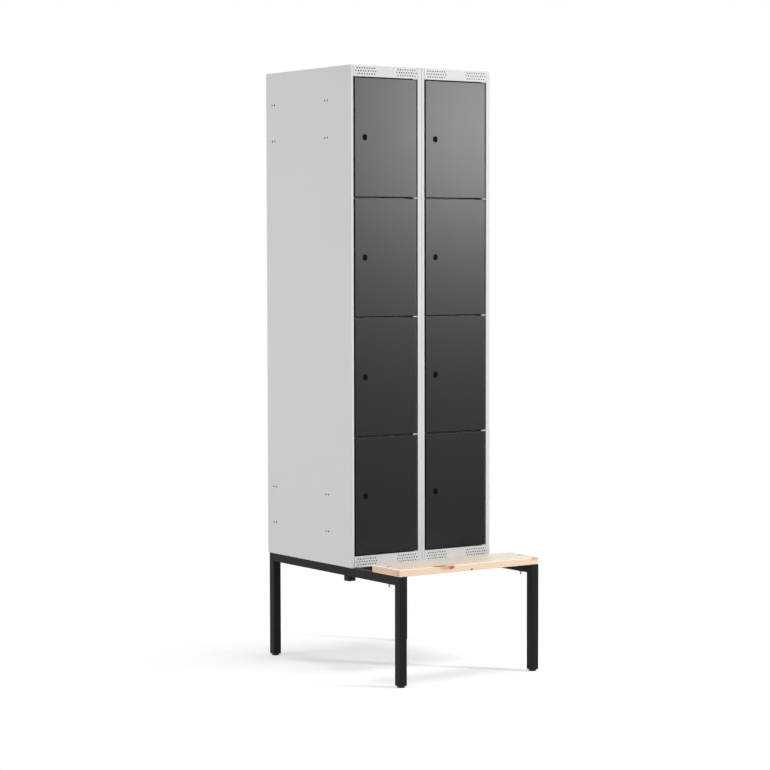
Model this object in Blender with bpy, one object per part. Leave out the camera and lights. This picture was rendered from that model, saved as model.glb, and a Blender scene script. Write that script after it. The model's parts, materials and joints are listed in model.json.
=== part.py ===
"""A steel locker with two columns of four doors, on a square-tube frame that carries a bench plank.

The origin is on the floor, under the middle of the whole object. X runs along the front from left
to right, Y runs from the bench at the front to the back, and Z is up. All sizes are in metres.
The panels, the doors and the lock parts are modelled once, in their own module's or door's frame,
and their copies share those meshes.
"""
import math

import bmesh
import bpy
from mathutils import Vector

# Whole object
BODY_WIDTH = 0.600
BODY_DEPTH = 0.550
BODY_HEIGHT = 1.740
FRAME_HEIGHT = 0.378
BENCH_REACH = 0.288
MODULES = 2
DOORS = 4

# Gaps and cutters
FIT = 0.0003
OVERRUN = 0.002

# Folded sheet steel
SHEET = 0.001
BEND_RADIUS = 0.0016
BEND_STEPS = 2

# Side panels
LEFT_STILE = 0.012
RIGHT_STILE = 0.017
STILE_PAST_DOOR = 0.002
DOOR_STOP_OVERLAP = 0.007
REAR_FLANGE = 0.015
JOIN_HOLE_RADIUS = 0.0025
JOIN_HOLE_SIDES = 5
JOIN_HOLE_SPACING = 0.016
JOIN_HOLE_FROM_FRONT = 0.1545
JOIN_HOLE_FROM_BACK = 0.050
JOIN_HOLE_RISES = (0.115, 0.245)

# Perforated fascias above and below the doors
FASCIA_HEIGHT = 0.0393
VENT_RADIUS = 0.0025
VENT_PITCH = 0.0103
VENT_ROW_PITCH = 0.010
VENT_ROWS = (8, 9, 8)
VENT_MARGIN = 0.006
VENT_SIDES = 5

# Shelves, roof and base
SHELF_LIP = 0.020
SHELF_LIP_RETURN = 0.010
SHEET_FLANGE = 0.012
BASE_RISE = 0.001

# Doors
DOOR_DEPTH = 0.018
DOOR_SIDE_GAP = 0.005
DOOR_END_CLEARANCE = 0.0009
DOOR_SWING_CLEARANCE = 0.0012
DOOR_REAR_LIP = 0.012
DOOR_EDGE_RADIUS = 0.0015
DOOR_EDGE_STEPS = 1

# Hinge tabs on the right stile, with the pins that the doors turn on
PIVOT_INSET = 0.008
PIVOT_SETBACK = 0.008
TAB_THICKNESS = 0.002
TAB_CLEARANCE = 0.0015
TAB_PAST_PIVOT = 0.007
TAB_SETBACK = 0.001
TAB_DEPTH = 0.016
PIN_RADIUS = 0.0025
PIN_REACH = 0.007
PIN_CLEARANCE = 0.0003
PIN_SIDES = 8

# Cam locks
LOCK_INSET = 0.042
LOCK_RADIUS = 0.0107
LOCK_HALF_FLATS = 0.0092
LOCK_CLEARANCE = 0.0003
LOCK_RECESS = 0.0006
LOCK_NUT_RADIUS = 0.0145
LOCK_NUT_DEPTH = 0.004
LOCK_STEPS = 10
PLUG_RADIUS = 0.0062
PLUG_NOSE_RADIUS = 0.0052
PLUG_NOSE_DEPTH = 0.0012
PLUG_RECESS = 0.0004
PLUG_STEPS = 10
KEY_SLOT_WIDTH = 0.0012
KEY_SLOT_HEIGHT = 0.0072
KEY_SLOT_DEPTH = 0.0008
CAM_PAST_STILE = 0.0006
CAM_THICKNESS = 0.002
CAM_HALF_WIDTH = 0.008
CAM_GRIP = 0.008
CAM_END_STEPS = 4
CAM_NUT_RADIUS = 0.0058
CAM_NUT_DEPTH = 0.0025

# Square-tube frame
FRAME_SIDE_INSET = 0.002
FRAME_REAR_INSET = 0.006
TUBE = 0.030
TUBE_WALL = 0.002
TUBE_EDGE_RADIUS = 0.002
TUBE_EDGE_STEPS = 2
STUB_SETBACK = 0.022
STUB_DROP = 0.018

# Foot glides
GLIDE_HEIGHT = 0.0060
GLIDE_RADIUS = 0.0130
GLIDE_EDGE = 0.0015
GLIDE_FLANGE = 0.0015
GLIDE_FLANGE_INSET = 0.0005
GLIDE_PLUG_HEIGHT = 0.014
GLIDE_STEPS = 12

# Bench plank
PLANK_DEPTH = 0.166
PLANK_THICKNESS = 0.025
PLANK_EDGE_RADIUS = 0.002
PLANK_EDGE_STEPS = 2

# Bolts
BENCH_BOLT_RADIUS = 0.003
BENCH_BOLT_HEAD_RADIUS = 0.0072
BENCH_BOLT_HEAD_HEIGHT = 0.003
BENCH_BOLT_END = 0.014
BENCH_NUT_RADIUS = 0.0058
BENCH_NUT_HEIGHT = 0.005
MODULE_BOLT_RADIUS = 0.004
MODULE_BOLT_HEAD_RADIUS = 0.0075
MODULE_BOLT_HEAD_HEIGHT = 0.005
MODULE_BOLT_LENGTH = 0.016
BOLT_CLEARANCE = 0.0004
BOLT_STEPS = 8
HEX_SIDES = 6
DOME_STEPS = 3

# Shading
SMOOTH_ANGLE = math.radians(35)

# Places worked out from the sizes above
MODULE_WIDTH = BODY_WIDTH / MODULES
OVERALL_DEPTH = BODY_DEPTH + BENCH_REACH
BENCH_FRONT = -OVERALL_DEPTH / 2
BODY_FRONT = BENCH_FRONT + BENCH_REACH
BODY_BACK = BODY_FRONT + BODY_DEPTH
BODY_BASE = FRAME_HEIGHT + FIT
STILE_DEPTH = DOOR_DEPTH + STILE_PAST_DOOR
DOOR_GAP = TAB_THICKNESS + 2 * TAB_CLEARANCE
DOOR_END_GAP = FIT + TAB_THICKNESS + DOOR_END_CLEARANCE
DOOR_ROOM = BODY_HEIGHT - 2 * FASCIA_HEIGHT - 2 * DOOR_END_GAP
DOOR_HEIGHT = (DOOR_ROOM - (DOORS - 1) * DOOR_GAP) / DOORS
DOOR_PITCH = DOOR_HEIGHT + DOOR_GAP
DOOR_WIDTH = MODULE_WIDTH - LEFT_STILE - RIGHT_STILE - 2 * DOOR_SIDE_GAP
DOOR_LEFT = LEFT_STILE + DOOR_SIDE_GAP
PIVOT_X = DOOR_LEFT + DOOR_WIDTH - PIVOT_INSET
LOCK_X = DOOR_LEFT + LOCK_INSET
INNER_SIDE = FIT / 2 + SHEET + FIT
BACK_SHEET_FRONT = BODY_DEPTH - SHEET - FIT - SHEET
SHEET_REAR = BACK_SHEET_FRONT - FIT
SHEET_FRONT = STILE_DEPTH + FIT
DOOR_SWING_REACH = math.hypot(PIVOT_INSET, DOOR_DEPTH - PIVOT_SETBACK)
SHELF_FRONT = max(SHEET_FRONT, PIVOT_SETBACK + DOOR_SWING_REACH + DOOR_SWING_CLEARANCE)
DOOR_STOP_EDGE = DOOR_LEFT + DOOR_STOP_OVERLAP
FRAME_HALF_WIDTH = BODY_WIDTH / 2 - FRAME_SIDE_INSET
FRAME_BACK = BODY_BACK - FRAME_REAR_INSET
LEG_BOTTOM = GLIDE_HEIGHT + GLIDE_FLANGE + FIT
RAIL_UNDERSIDE = FRAME_HEIGHT - TUBE
STUB_FRONT = BODY_FRONT + STUB_SETBACK
PLANK_BASE = FRAME_HEIGHT + FIT
PLANK_TOP = PLANK_BASE + PLANK_THICKNESS
BENCH_BOLT_Y = BENCH_FRONT + PLANK_DEPTH / 2
BENCH_BOLT_X = FRAME_HALF_WIDTH - TUBE / 2
MODULE_BOLT_YS = (STUB_FRONT + TUBE / 2, FRAME_BACK - TUBE / 2)
LOCK_REAR = STILE_DEPTH + CAM_PAST_STILE - FIT
CAM_FRONT = LOCK_REAR + FIT
CAM_LENGTH = LOCK_X - DOOR_STOP_EDGE + CAM_GRIP


def clear_scene():
    """Removes what the start-up file holds."""
    for item in list(bpy.data.objects):
        bpy.data.objects.remove(item, do_unlink=True)


def make_material(name, colour, roughness, metallic):
    """A plain Principled finish."""
    material = bpy.data.materials.new(name)
    material.use_nodes = True
    shader = material.node_tree.nodes["Principled BSDF"]
    shader.inputs["Base Color"].default_value = (*colour, 1)
    shader.inputs["Roughness"].default_value = roughness
    shader.inputs["Metallic"].default_value = metallic
    material.diffuse_color = (*colour, 1)
    return material


def mesh_from(bm, name):
    """Turns a bmesh into a mesh with its faces pointing outwards."""
    bmesh.ops.recalc_face_normals(bm, faces=bm.faces)
    mesh = bpy.data.meshes.new(name)
    bm.to_mesh(mesh)
    bm.free()
    return mesh


def add_prism(bm, outline, axis, start, end):
    """Draws a closed outline out along an axis. Its two numbers are the other two axes, in order."""
    corners = []
    for first, second in outline:
        place = [first, second]
        place.insert(axis, start)
        corners.append(bm.verts.new(place))
    cap = bm.faces.new(corners)
    drawn = bmesh.ops.extrude_face_region(bm, geom=[cap])
    moved = [item for item in drawn["geom"] if isinstance(item, bmesh.types.BMVert)]
    step = Vector((0, 0, 0))
    step[axis] = end - start
    bmesh.ops.translate(bm, verts=moved, vec=step)


def prism(name, outline, axis, start, end):
    """A mesh of one prism."""
    bm = bmesh.new()
    add_prism(bm, outline, axis, start, end)
    return mesh_from(bm, name)


def rectangle(low, high):
    """The four corners of a rectangle, given by its lowest and highest corner."""
    return [low, (high[0], low[1]), high, (low[0], high[1])]


def block(name, low, high):
    """A box from its lowest to its highest corner."""
    return prism(name, rectangle(low[:2], high[:2]), 2, low[2], high[2])


def circle(radius, steps, centre=(0, 0)):
    """Points around a circle."""
    angles = [2 * math.pi * step / steps for step in range(steps)]
    return [(centre[0] + radius * math.cos(a), centre[1] + radius * math.sin(a)) for a in angles]


def bore_radius(radius, clearance, steps):
    """The radius of a many-sided bore that a round part of the same number of sides can turn in."""
    return (radius + clearance) / math.cos(math.pi / steps)


def double_d(radius, half_flats, steps):
    """A circle with two flats, at its left and at its right."""
    start = math.acos(half_flats / radius)
    sweep = math.pi - 2 * start
    angles = [start + sweep * step / (steps // 2) for step in range(steps // 2 + 1)]
    upper = [(radius * math.cos(a), radius * math.sin(a)) for a in angles]
    return upper + [(-x, -y) for x, y in upper]


def turned(name, profile, steps):
    """A turned body about Z: the profile lists radius and height, from axis to axis."""
    bm = bmesh.new()
    points = [bm.verts.new((radius, 0, height)) for radius, height in profile]
    edges = [bm.edges.new(pair) for pair in zip(points, points[1:])]
    bmesh.ops.spin(bm, geom=points + edges, cent=(0, 0, 0), axis=(0, 0, 1), angle=2 * math.pi,
                   steps=steps, use_merge=True)
    bmesh.ops.remove_doubles(bm, verts=bm.verts, dist=FIT / 10)
    return mesh_from(bm, name)


def folded_outline(path):
    """The outline of folded sheet. The path is one side of it, and the sheet lies to its right."""
    points = [Vector(point) for point in path]
    headings = [(b - a).normalized() for a, b in zip(points, points[1:])]
    rightward = [Vector((heading.y, -heading.x)) for heading in headings]
    near = [points[0]]
    far = [points[0] + rightward[0] * SHEET]
    for point, before, after in zip(points[1:], rightward, rightward[1:]):
        turns_right = before.x * after.y < before.y * after.x
        radius = BEND_RADIUS if turns_right else SHEET - BEND_RADIUS
        centre = point + (before + after) * radius / (1 + before.dot(after))
        for step in range(BEND_STEPS + 1):
            share = step / BEND_STEPS
            towards = (before * (1 - share) + after * share).normalized()
            near.append(centre - towards * radius)
            far.append(centre - towards * (radius - SHEET))
    near.append(points[-1])
    far.append(points[-1] + rightward[-1] * SHEET)
    return [tuple(point) for point in near + far[::-1]]


def mirrored(path):
    """The same fold for the other side of a module."""
    return [(MODULE_WIDTH - x, y) for x, y in reversed(path)]


def combine(mesh, others, operation):
    """Cuts the other meshes from a mesh, or joins them to it, and gives back one clean mesh."""
    scene = bpy.context.collection
    body = bpy.data.objects.new(mesh.name, mesh)
    scene.objects.link(body)
    tools = []
    for other in others:
        tool = bpy.data.objects.new(other.name, other)
        scene.objects.link(tool)
        tools.append(tool)
        modifier = body.modifiers.new(operation.title(), "BOOLEAN")
        modifier.operation = operation
        modifier.solver = "EXACT"
        modifier.object = tool
    bpy.context.view_layer.update()
    evaluated = body.evaluated_get(bpy.context.evaluated_depsgraph_get())
    result = bpy.data.meshes.new_from_object(evaluated)
    result.name = mesh.name
    for item in [body] + tools:
        bpy.data.objects.remove(item, do_unlink=True)
    return result


def cut(mesh, *cutters):
    """The mesh with the cutters taken away."""
    return combine(mesh, cutters, "DIFFERENCE")


def join(mesh, *additions):
    """The mesh and the additions as one body."""
    return combine(mesh, additions, "UNION")


def bevel_edges(mesh, wanted, radius, steps):
    """Rounds the edges of a mesh that the test picks out by their two ends."""
    bm = bmesh.new()
    bm.from_mesh(mesh)
    edges = [edge for edge in bm.edges if wanted(edge.verts[0].co, edge.verts[1].co)]
    bmesh.ops.bevel(bm, geom=edges, offset=radius, segments=steps, profile=0.5, affect="EDGES",
                    clamp_overlap=True)
    bm.to_mesh(mesh)
    bm.free()
    return mesh


def place(name, mesh, material, location, parent=None):
    """Adds a piece to the scene, where location is the place of its own origin in the world."""
    piece = bpy.data.objects.new(name, mesh)
    bpy.context.collection.objects.link(piece)
    if not mesh.materials:
        mesh.materials.append(material)
    mesh.shade_smooth()
    mesh.set_sharp_from_angle(angle=SMOOTH_ANGLE)
    if parent is None:
        piece.location = location
    else:
        piece.parent = parent
        piece.location = Vector(location) - parent.location
    return piece


def door_middle(number):
    """The middle height of a door above its module's base. Door 1 is the top one."""
    return BODY_HEIGHT / 2 + ((DOORS + 1) / 2 - number) * DOOR_PITCH


def tab_middles():
    """The middle heights of the hinge tabs, from the lowest to the highest."""
    lowest = FASCIA_HEIGHT + FIT + TAB_THICKNESS / 2
    between = [door_middle(number) - DOOR_PITCH / 2 for number in range(DOORS - 1, 0, -1)]
    return [lowest] + between + [BODY_HEIGHT - lowest]


def side_path(stile):
    """A side panel in plan, from the front edge of its return, round the stile, to the back."""
    outer = FIT / 2
    return [(stile, 0), (outer, 0), (outer, BODY_DEPTH), (REAR_FLANGE, BODY_DEPTH)]


def join_holes(name, outer):
    """Cutters for the pairs of holes through which neighbouring modules are screwed together."""
    bm = bmesh.new()
    rises = JOIN_HOLE_RISES + tuple(BODY_HEIGHT - rise for rise in JOIN_HOLE_RISES)
    for setback in (JOIN_HOLE_FROM_FRONT, BODY_DEPTH - JOIN_HOLE_FROM_BACK):
        for offset in (-JOIN_HOLE_SPACING / 2, JOIN_HOLE_SPACING / 2):
            for rise in rises:
                outline = circle(JOIN_HOLE_RADIUS, JOIN_HOLE_SIDES, (setback + offset, rise))
                add_prism(bm, outline, 0, outer - SHEET - OVERRUN, outer + SHEET + OVERRUN)
    return mesh_from(bm, name)


def left_side_mesh():
    """The left side: a stile with a stop behind the doors' free edge, and a flange at the back."""
    stop = STILE_DEPTH - SHEET
    path = [(DOOR_STOP_EDGE, stop), (LEFT_STILE, stop)] + side_path(LEFT_STILE)
    sheet = prism("left_side", folded_outline(path), 2, 0, BODY_HEIGHT)
    notches = bmesh.new()
    plan = rectangle((LEFT_STILE, stop - OVERRUN), (DOOR_STOP_EDGE + OVERRUN, STILE_DEPTH + OVERRUN))
    notch_height = FASCIA_HEIGHT + FIT
    add_prism(notches, plan, 2, -OVERRUN, notch_height)
    add_prism(notches, plan, 2, BODY_HEIGHT - notch_height, BODY_HEIGHT + OVERRUN)
    return cut(sheet, mesh_from(notches, "fascia_notches"), join_holes("left_join_holes", FIT / 2))


def right_side_mesh():
    """The right side: the same sheet mirrored, with a tab and a pin at every gap of the doors."""
    path = mirrored([(RIGHT_STILE, STILE_DEPTH)] + side_path(RIGHT_STILE))
    sheet = prism("right_side", folded_outline(path), 2, 0, BODY_HEIGHT)
    sheet = cut(sheet, join_holes("right_join_holes", MODULE_WIDTH - FIT / 2))
    tabs = bmesh.new()
    pins = bmesh.new()
    stile_edge = MODULE_WIDTH - RIGHT_STILE
    plan = rectangle((PIVOT_X - TAB_PAST_PIVOT, TAB_SETBACK),
                     (stile_edge + SHEET / 2, TAB_SETBACK + TAB_DEPTH))
    middles = tab_middles()
    for middle in middles:
        add_prism(tabs, plan, 2, middle - TAB_THICKNESS / 2, middle + TAB_THICKNESS / 2)
        down = 0 if middle == middles[0] else TAB_THICKNESS / 2 + PIN_REACH
        up = 0 if middle == middles[-1] else TAB_THICKNESS / 2 + PIN_REACH
        pin = circle(PIN_RADIUS, PIN_SIDES, (PIVOT_X, PIVOT_SETBACK))
        add_prism(pins, pin, 2, middle - down, middle + up)
    return join(sheet, mesh_from(tabs, "tabs"), mesh_from(pins, "pins"))


def back_mesh():
    """The back: one flat sheet in front of the rear flanges of the sides."""
    low = (INNER_SIDE, BACK_SHEET_FRONT, 0)
    high = (MODULE_WIDTH - INNER_SIDE, BACK_SHEET_FRONT + SHEET, BODY_HEIGHT)
    return block("back", low, high)


def cross_sheet(name, path, front, low, high):
    """A folded sheet that spans a module, with a flange at each end between the two heights."""
    right = MODULE_WIDTH - INNER_SIDE
    sheet = prism(name, folded_outline(path), 0, INNER_SIDE, right)
    flanges = bmesh.new()
    plan = rectangle((front, low), (SHEET_REAR - SHEET - FIT, high))
    add_prism(flanges, plan, 0, INNER_SIDE, INNER_SIDE + SHEET)
    add_prism(flanges, plan, 0, right - SHEET, right)
    return join(sheet, mesh_from(flanges, name + "_flanges"))


def corner_tongues(name, low):
    """The parts of a roof or a base that reach forward beside the fascia, into the two stiles."""
    tongues = bmesh.new()
    for start, end in (
        (INNER_SIDE, LEFT_STILE - SHEET - FIT),
        (MODULE_WIDTH - RIGHT_STILE + SHEET + FIT, MODULE_WIDTH - INNER_SIDE),
    ):
        plan = rectangle((start, SHEET + FIT), (end, SHEET_FRONT + SHEET))
        add_prism(tongues, plan, 2, low, low + SHEET)
    return mesh_from(tongues, name)


def shelf_mesh():
    """A shelf: a lip folded down and back at the front, and flanges down at its other edges."""
    path = [
        (SHELF_FRONT + SHELF_LIP_RETURN, -SHELF_LIP),
        (SHELF_FRONT, -SHELF_LIP),
        (SHELF_FRONT, 0),
        (SHEET_REAR, 0),
        (SHEET_REAR, -SHEET_FLANGE),
    ]
    return cross_sheet("shelf", path, SHELF_FRONT + SHEET + FIT, -SHEET_FLANGE, -SHEET / 2)


def roof_mesh():
    """The roof: a flat sheet with tongues into the stiles and flanges down at its other edges."""
    path = [
        (SHEET_FRONT, BODY_HEIGHT),
        (SHEET_REAR, BODY_HEIGHT),
        (SHEET_REAR, BODY_HEIGHT - SHEET_FLANGE),
    ]
    roof = cross_sheet("roof", path, SHEET_FRONT, BODY_HEIGHT - SHEET_FLANGE, BODY_HEIGHT - SHEET / 2)
    return join(roof, corner_tongues("roof_tongues", BODY_HEIGHT - SHEET))


def base_mesh():
    """The base: the roof's shape upside down, just above the sides' lower edges, with bolt holes."""
    flange_top = BASE_RISE + SHEET_FLANGE
    path = [(SHEET_REAR, flange_top), (SHEET_REAR, BASE_RISE), (SHEET_FRONT, BASE_RISE)]
    sheet = cross_sheet("base", path, SHEET_FRONT, BASE_RISE + SHEET / 2, flange_top)
    sheet = join(sheet, corner_tongues("base_tongues", BASE_RISE))
    holes = bmesh.new()
    for bolt_y in MODULE_BOLT_YS:
        centre = (MODULE_WIDTH / 2, bolt_y - BODY_FRONT)
        outline = circle(MODULE_BOLT_RADIUS + BOLT_CLEARANCE, BOLT_STEPS, centre)
        add_prism(holes, outline, 2, -OVERRUN, BASE_RISE + SHEET + OVERRUN)
    return cut(sheet, mesh_from(holes, "base_holes"))


def vent_cutters(name, middle):
    """The staggered rows of small holes, in a group near each side of a fascia."""
    bm = bmesh.new()
    widest = max(VENT_ROWS)
    half_group = (widest - 1) * VENT_PITCH / 2
    group_setback = RIGHT_STILE + VENT_MARGIN + half_group
    for group_x in (group_setback, MODULE_WIDTH - group_setback):
        for row, count in enumerate(VENT_ROWS):
            height = middle + ((len(VENT_ROWS) - 1) / 2 - row) * VENT_ROW_PITCH
            for hole in range(count):
                x = group_x + (hole - (count - 1) / 2) * VENT_PITCH
                outline = circle(VENT_RADIUS, VENT_SIDES, (x, height))
                add_prism(bm, outline, 1, -OVERRUN, SHEET + OVERRUN)
    return mesh_from(bm, name)


def fascia_mesh(name, low):
    """A perforated fascia: a channel between the stiles, open at the back."""
    high = low + FASCIA_HEIGHT
    path = [(STILE_DEPTH, low), (0, low), (0, high), (STILE_DEPTH, high)]
    start = LEFT_STILE + FIT
    end = MODULE_WIDTH - RIGHT_STILE - FIT
    channel = prism(name, folded_outline(path), 0, start, end)
    return cut(channel, vent_cutters(name + "_vents", low + FASCIA_HEIGHT / 2))


def door_mesh():
    """A door: a shallow tray with a lip turned in at the back. Its origin is on its hinge axis."""
    left = PIVOT_INSET - DOOR_WIDTH
    right = PIVOT_INSET
    front = -PIVOT_SETBACK
    back = DOOR_DEPTH - PIVOT_SETBACK
    half = DOOR_HEIGHT / 2
    tray = block("door", (left, front, -half), (right, back, half))
    tray = bevel_edges(tray, lambda a, b: min(a.y, b.y) < back - SHEET, DOOR_EDGE_RADIUS, DOOR_EDGE_STEPS)
    hollow = block("door_hollow", (left + SHEET, front + SHEET, -half + SHEET),
                   (right - SHEET, back - SHEET, half - SHEET))
    window = block("door_window", (left + DOOR_REAR_LIP, back - SHEET - OVERRUN, -half + DOOR_REAR_LIP),
                   (right - DOOR_REAR_LIP, back + OVERRUN, half - DOOR_REAR_LIP))
    round_pin = circle(bore_radius(PIN_RADIUS, PIN_CLEARANCE, PIN_SIDES), PIN_SIDES)
    bore = prism("pin_bore", round_pin, 2, -half - OVERRUN, half + OVERRUN)
    lock_x = LOCK_X - PIVOT_X
    opening = double_d(LOCK_RADIUS + LOCK_CLEARANCE, LOCK_HALF_FLATS + LOCK_CLEARANCE, LOCK_STEPS)
    opening = [(lock_x + x, z) for x, z in opening]
    lock_hole = prism("lock_hole", opening, 1, front - OVERRUN, front + SHEET + OVERRUN)
    return cut(tray, hollow, window, bore, lock_hole)


def stand_back(mesh):
    """Lays a turned body down, so that its height runs from the door's front to the back."""
    for vertex in mesh.vertices:
        x, y, z = vertex.co
        vertex.co = (x, z, -y)
    return mesh


def lock_housing_mesh():
    """A lock housing: a double-D barrel in the door's hole, with its nut behind the sheet."""
    face = double_d(LOCK_RADIUS, LOCK_HALF_FLATS, LOCK_STEPS)
    barrel = prism("lock_housing", face, 1, LOCK_RECESS, LOCK_REAR)
    nut_front = SHEET + FIT
    nut = prism("lock_nut", circle(LOCK_NUT_RADIUS, HEX_SIDES), 1, nut_front, nut_front + LOCK_NUT_DEPTH)
    nose_rear = LOCK_RECESS + PLUG_RECESS + PLUG_NOSE_DEPTH
    nose_bore = bore_radius(PLUG_NOSE_RADIUS, LOCK_CLEARANCE, PLUG_STEPS)
    plug_bore = bore_radius(PLUG_RADIUS, LOCK_CLEARANCE, PLUG_STEPS)
    bore = stand_back(turned("bore", [
        (0, -OVERRUN),
        (nose_bore, -OVERRUN),
        (nose_bore, nose_rear - LOCK_CLEARANCE),
        (plug_bore, nose_rear - LOCK_CLEARANCE),
        (plug_bore, LOCK_REAR + OVERRUN),
        (0, LOCK_REAR + OVERRUN),
    ], PLUG_STEPS))
    return cut(join(barrel, nut), bore)


def lock_cam_mesh():
    """A lock's turning part: the plug with its key slot, the cam that hangs from it and its nut."""
    nose_front = LOCK_RECESS + PLUG_RECESS
    nose_rear = nose_front + PLUG_NOSE_DEPTH
    plug = stand_back(turned("lock_cam", [
        (0, nose_front),
        (PLUG_NOSE_RADIUS, nose_front),
        (PLUG_NOSE_RADIUS, nose_rear),
        (PLUG_RADIUS, nose_rear),
        (PLUG_RADIUS, CAM_FRONT + CAM_THICKNESS / 2),
        (0, CAM_FRONT + CAM_THICKNESS / 2),
    ], PLUG_STEPS))
    ends = [math.pi * step / CAM_END_STEPS for step in range(CAM_END_STEPS + 1)]
    upper = [(CAM_HALF_WIDTH * math.cos(a), CAM_HALF_WIDTH * math.sin(a)) for a in ends]
    foot = CAM_HALF_WIDTH - CAM_LENGTH
    lower = [(-x, foot - z) for x, z in upper]
    cam = prism("cam", upper + lower, 1, CAM_FRONT, CAM_FRONT + CAM_THICKNESS)
    nut = prism("cam_nut", circle(CAM_NUT_RADIUS, HEX_SIDES), 1, CAM_FRONT + CAM_THICKNESS / 2,
                CAM_FRONT + CAM_THICKNESS + CAM_NUT_DEPTH)
    slot = block("key_slot", (-KEY_SLOT_WIDTH / 2, nose_front - OVERRUN, -KEY_SLOT_HEIGHT / 2),
                 (KEY_SLOT_WIDTH / 2, nose_front + KEY_SLOT_DEPTH, KEY_SLOT_HEIGHT / 2))
    return cut(join(plug, cam, nut), slot)


def frame_outline(inset):
    """One side frame seen from its side. An inset outline runs out through the open tube ends."""
    end = OVERRUN if inset else 0
    front, back = BENCH_FRONT + inset, FRAME_BACK - inset
    leg = TUBE - 2 * inset
    top, under = FRAME_HEIGHT - inset, RAIL_UNDERSIDE + inset
    stub_front, stub_back = STUB_FRONT + inset, STUB_FRONT + TUBE - inset
    stub_end = RAIL_UNDERSIDE - STUB_DROP - end
    leg_end = LEG_BOTTOM - end
    return [
        (front, leg_end), (front + leg, leg_end), (front + leg, under),
        (stub_front, under), (stub_front, stub_end), (stub_back, stub_end), (stub_back, under),
        (back - leg, under), (back - leg, leg_end), (back, leg_end), (back, top), (front, top),
    ]


def side_frame_mesh():
    """A side frame: two legs, the rail that joins them and a short stub, welded from square tube."""
    outer = prism("side_frame", frame_outline(0), 0, -TUBE / 2, TUBE / 2)
    open_ends = (LEG_BOTTOM, RAIL_UNDERSIDE - STUB_DROP)

    def long_edge(a, b):
        along_x = abs(a.x - b.x) > FIT
        at_end = any(abs(a.z - z) < FIT and abs(b.z - z) < FIT for z in open_ends)
        return not at_end and (not along_x or abs(a.z - FRAME_HEIGHT) < FIT)

    outer = bevel_edges(outer, long_edge, TUBE_EDGE_RADIUS, TUBE_EDGE_STEPS)
    bore = prism("tube_bore", frame_outline(TUBE_WALL), 0, TUBE_WALL - TUBE / 2, TUBE / 2 - TUBE_WALL)
    round_bolt = circle(BENCH_BOLT_RADIUS + BOLT_CLEARANCE, BOLT_STEPS, (0, BENCH_BOLT_Y))
    bolt_hole = prism("bench_bolt_hole", round_bolt, 2, RAIL_UNDERSIDE - OVERRUN, FRAME_HEIGHT + OVERRUN)
    return cut(outer, bore, bolt_hole)


def cross_rail_mesh(name, middle):
    """A cross rail: a square tube with a bolt hole in its top under each module's middle."""
    half_length = FRAME_HALF_WIDTH - TUBE - FIT
    half = TUBE / 2
    outline = rectangle((middle - half, RAIL_UNDERSIDE), (middle + half, FRAME_HEIGHT))
    tube = prism(name, outline, 0, -half_length, half_length)
    tube = bevel_edges(tube, lambda a, b: abs(a.x - b.x) > half_length, TUBE_EDGE_RADIUS, TUBE_EDGE_STEPS)
    inner = rectangle((middle - half + TUBE_WALL, RAIL_UNDERSIDE + TUBE_WALL),
                      (middle + half - TUBE_WALL, FRAME_HEIGHT - TUBE_WALL))
    bore = prism(name + "_bore", inner, 0, -half_length - OVERRUN, half_length + OVERRUN)
    holes = bmesh.new()
    for module in range(MODULES):
        outline = circle(MODULE_BOLT_RADIUS + BOLT_CLEARANCE, BOLT_STEPS, (module_middle(module), middle))
        add_prism(holes, outline, 2, FRAME_HEIGHT - TUBE_WALL - OVERRUN, FRAME_HEIGHT + OVERRUN)
    return cut(tube, bore, mesh_from(holes, name + "_holes"))


def glide_mesh():
    """A foot glide: a round foot, a square flange under the tube's end and a plug inside it."""
    foot = turned("foot_glide", [
        (0, 0),
        (GLIDE_RADIUS - GLIDE_EDGE, 0),
        (GLIDE_RADIUS, GLIDE_EDGE),
        (GLIDE_RADIUS, GLIDE_HEIGHT + GLIDE_FLANGE / 2),
        (0, GLIDE_HEIGHT + GLIDE_FLANGE / 2),
    ], GLIDE_STEPS)
    flange_half = TUBE / 2 - GLIDE_FLANGE_INSET
    flange = block("flange", (-flange_half, -flange_half, GLIDE_HEIGHT),
                   (flange_half, flange_half, GLIDE_HEIGHT + GLIDE_FLANGE))
    plug_half = TUBE / 2 - TUBE_WALL - FIT
    plug = block("plug", (-plug_half, -plug_half, GLIDE_HEIGHT + GLIDE_FLANGE / 2),
                 (plug_half, plug_half, GLIDE_HEIGHT + GLIDE_FLANGE + GLIDE_PLUG_HEIGHT))
    return join(foot, flange, plug)


def plank_mesh():
    """The bench plank, with rounded edges and a bolt hole near each end."""
    low = (-FRAME_HALF_WIDTH, BENCH_FRONT, PLANK_BASE)
    high = (FRAME_HALF_WIDTH, BENCH_FRONT + PLANK_DEPTH, PLANK_TOP)
    plank = bevel_edges(block("plank", low, high), lambda a, b: True, PLANK_EDGE_RADIUS, PLANK_EDGE_STEPS)
    holes = bmesh.new()
    for bolt_x in (-BENCH_BOLT_X, BENCH_BOLT_X):
        outline = circle(BENCH_BOLT_RADIUS + BOLT_CLEARANCE, BOLT_STEPS, (bolt_x, BENCH_BOLT_Y))
        add_prism(holes, outline, 2, PLANK_BASE - OVERRUN, PLANK_TOP + OVERRUN)
    return cut(plank, mesh_from(holes, "plank_holes"))


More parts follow.
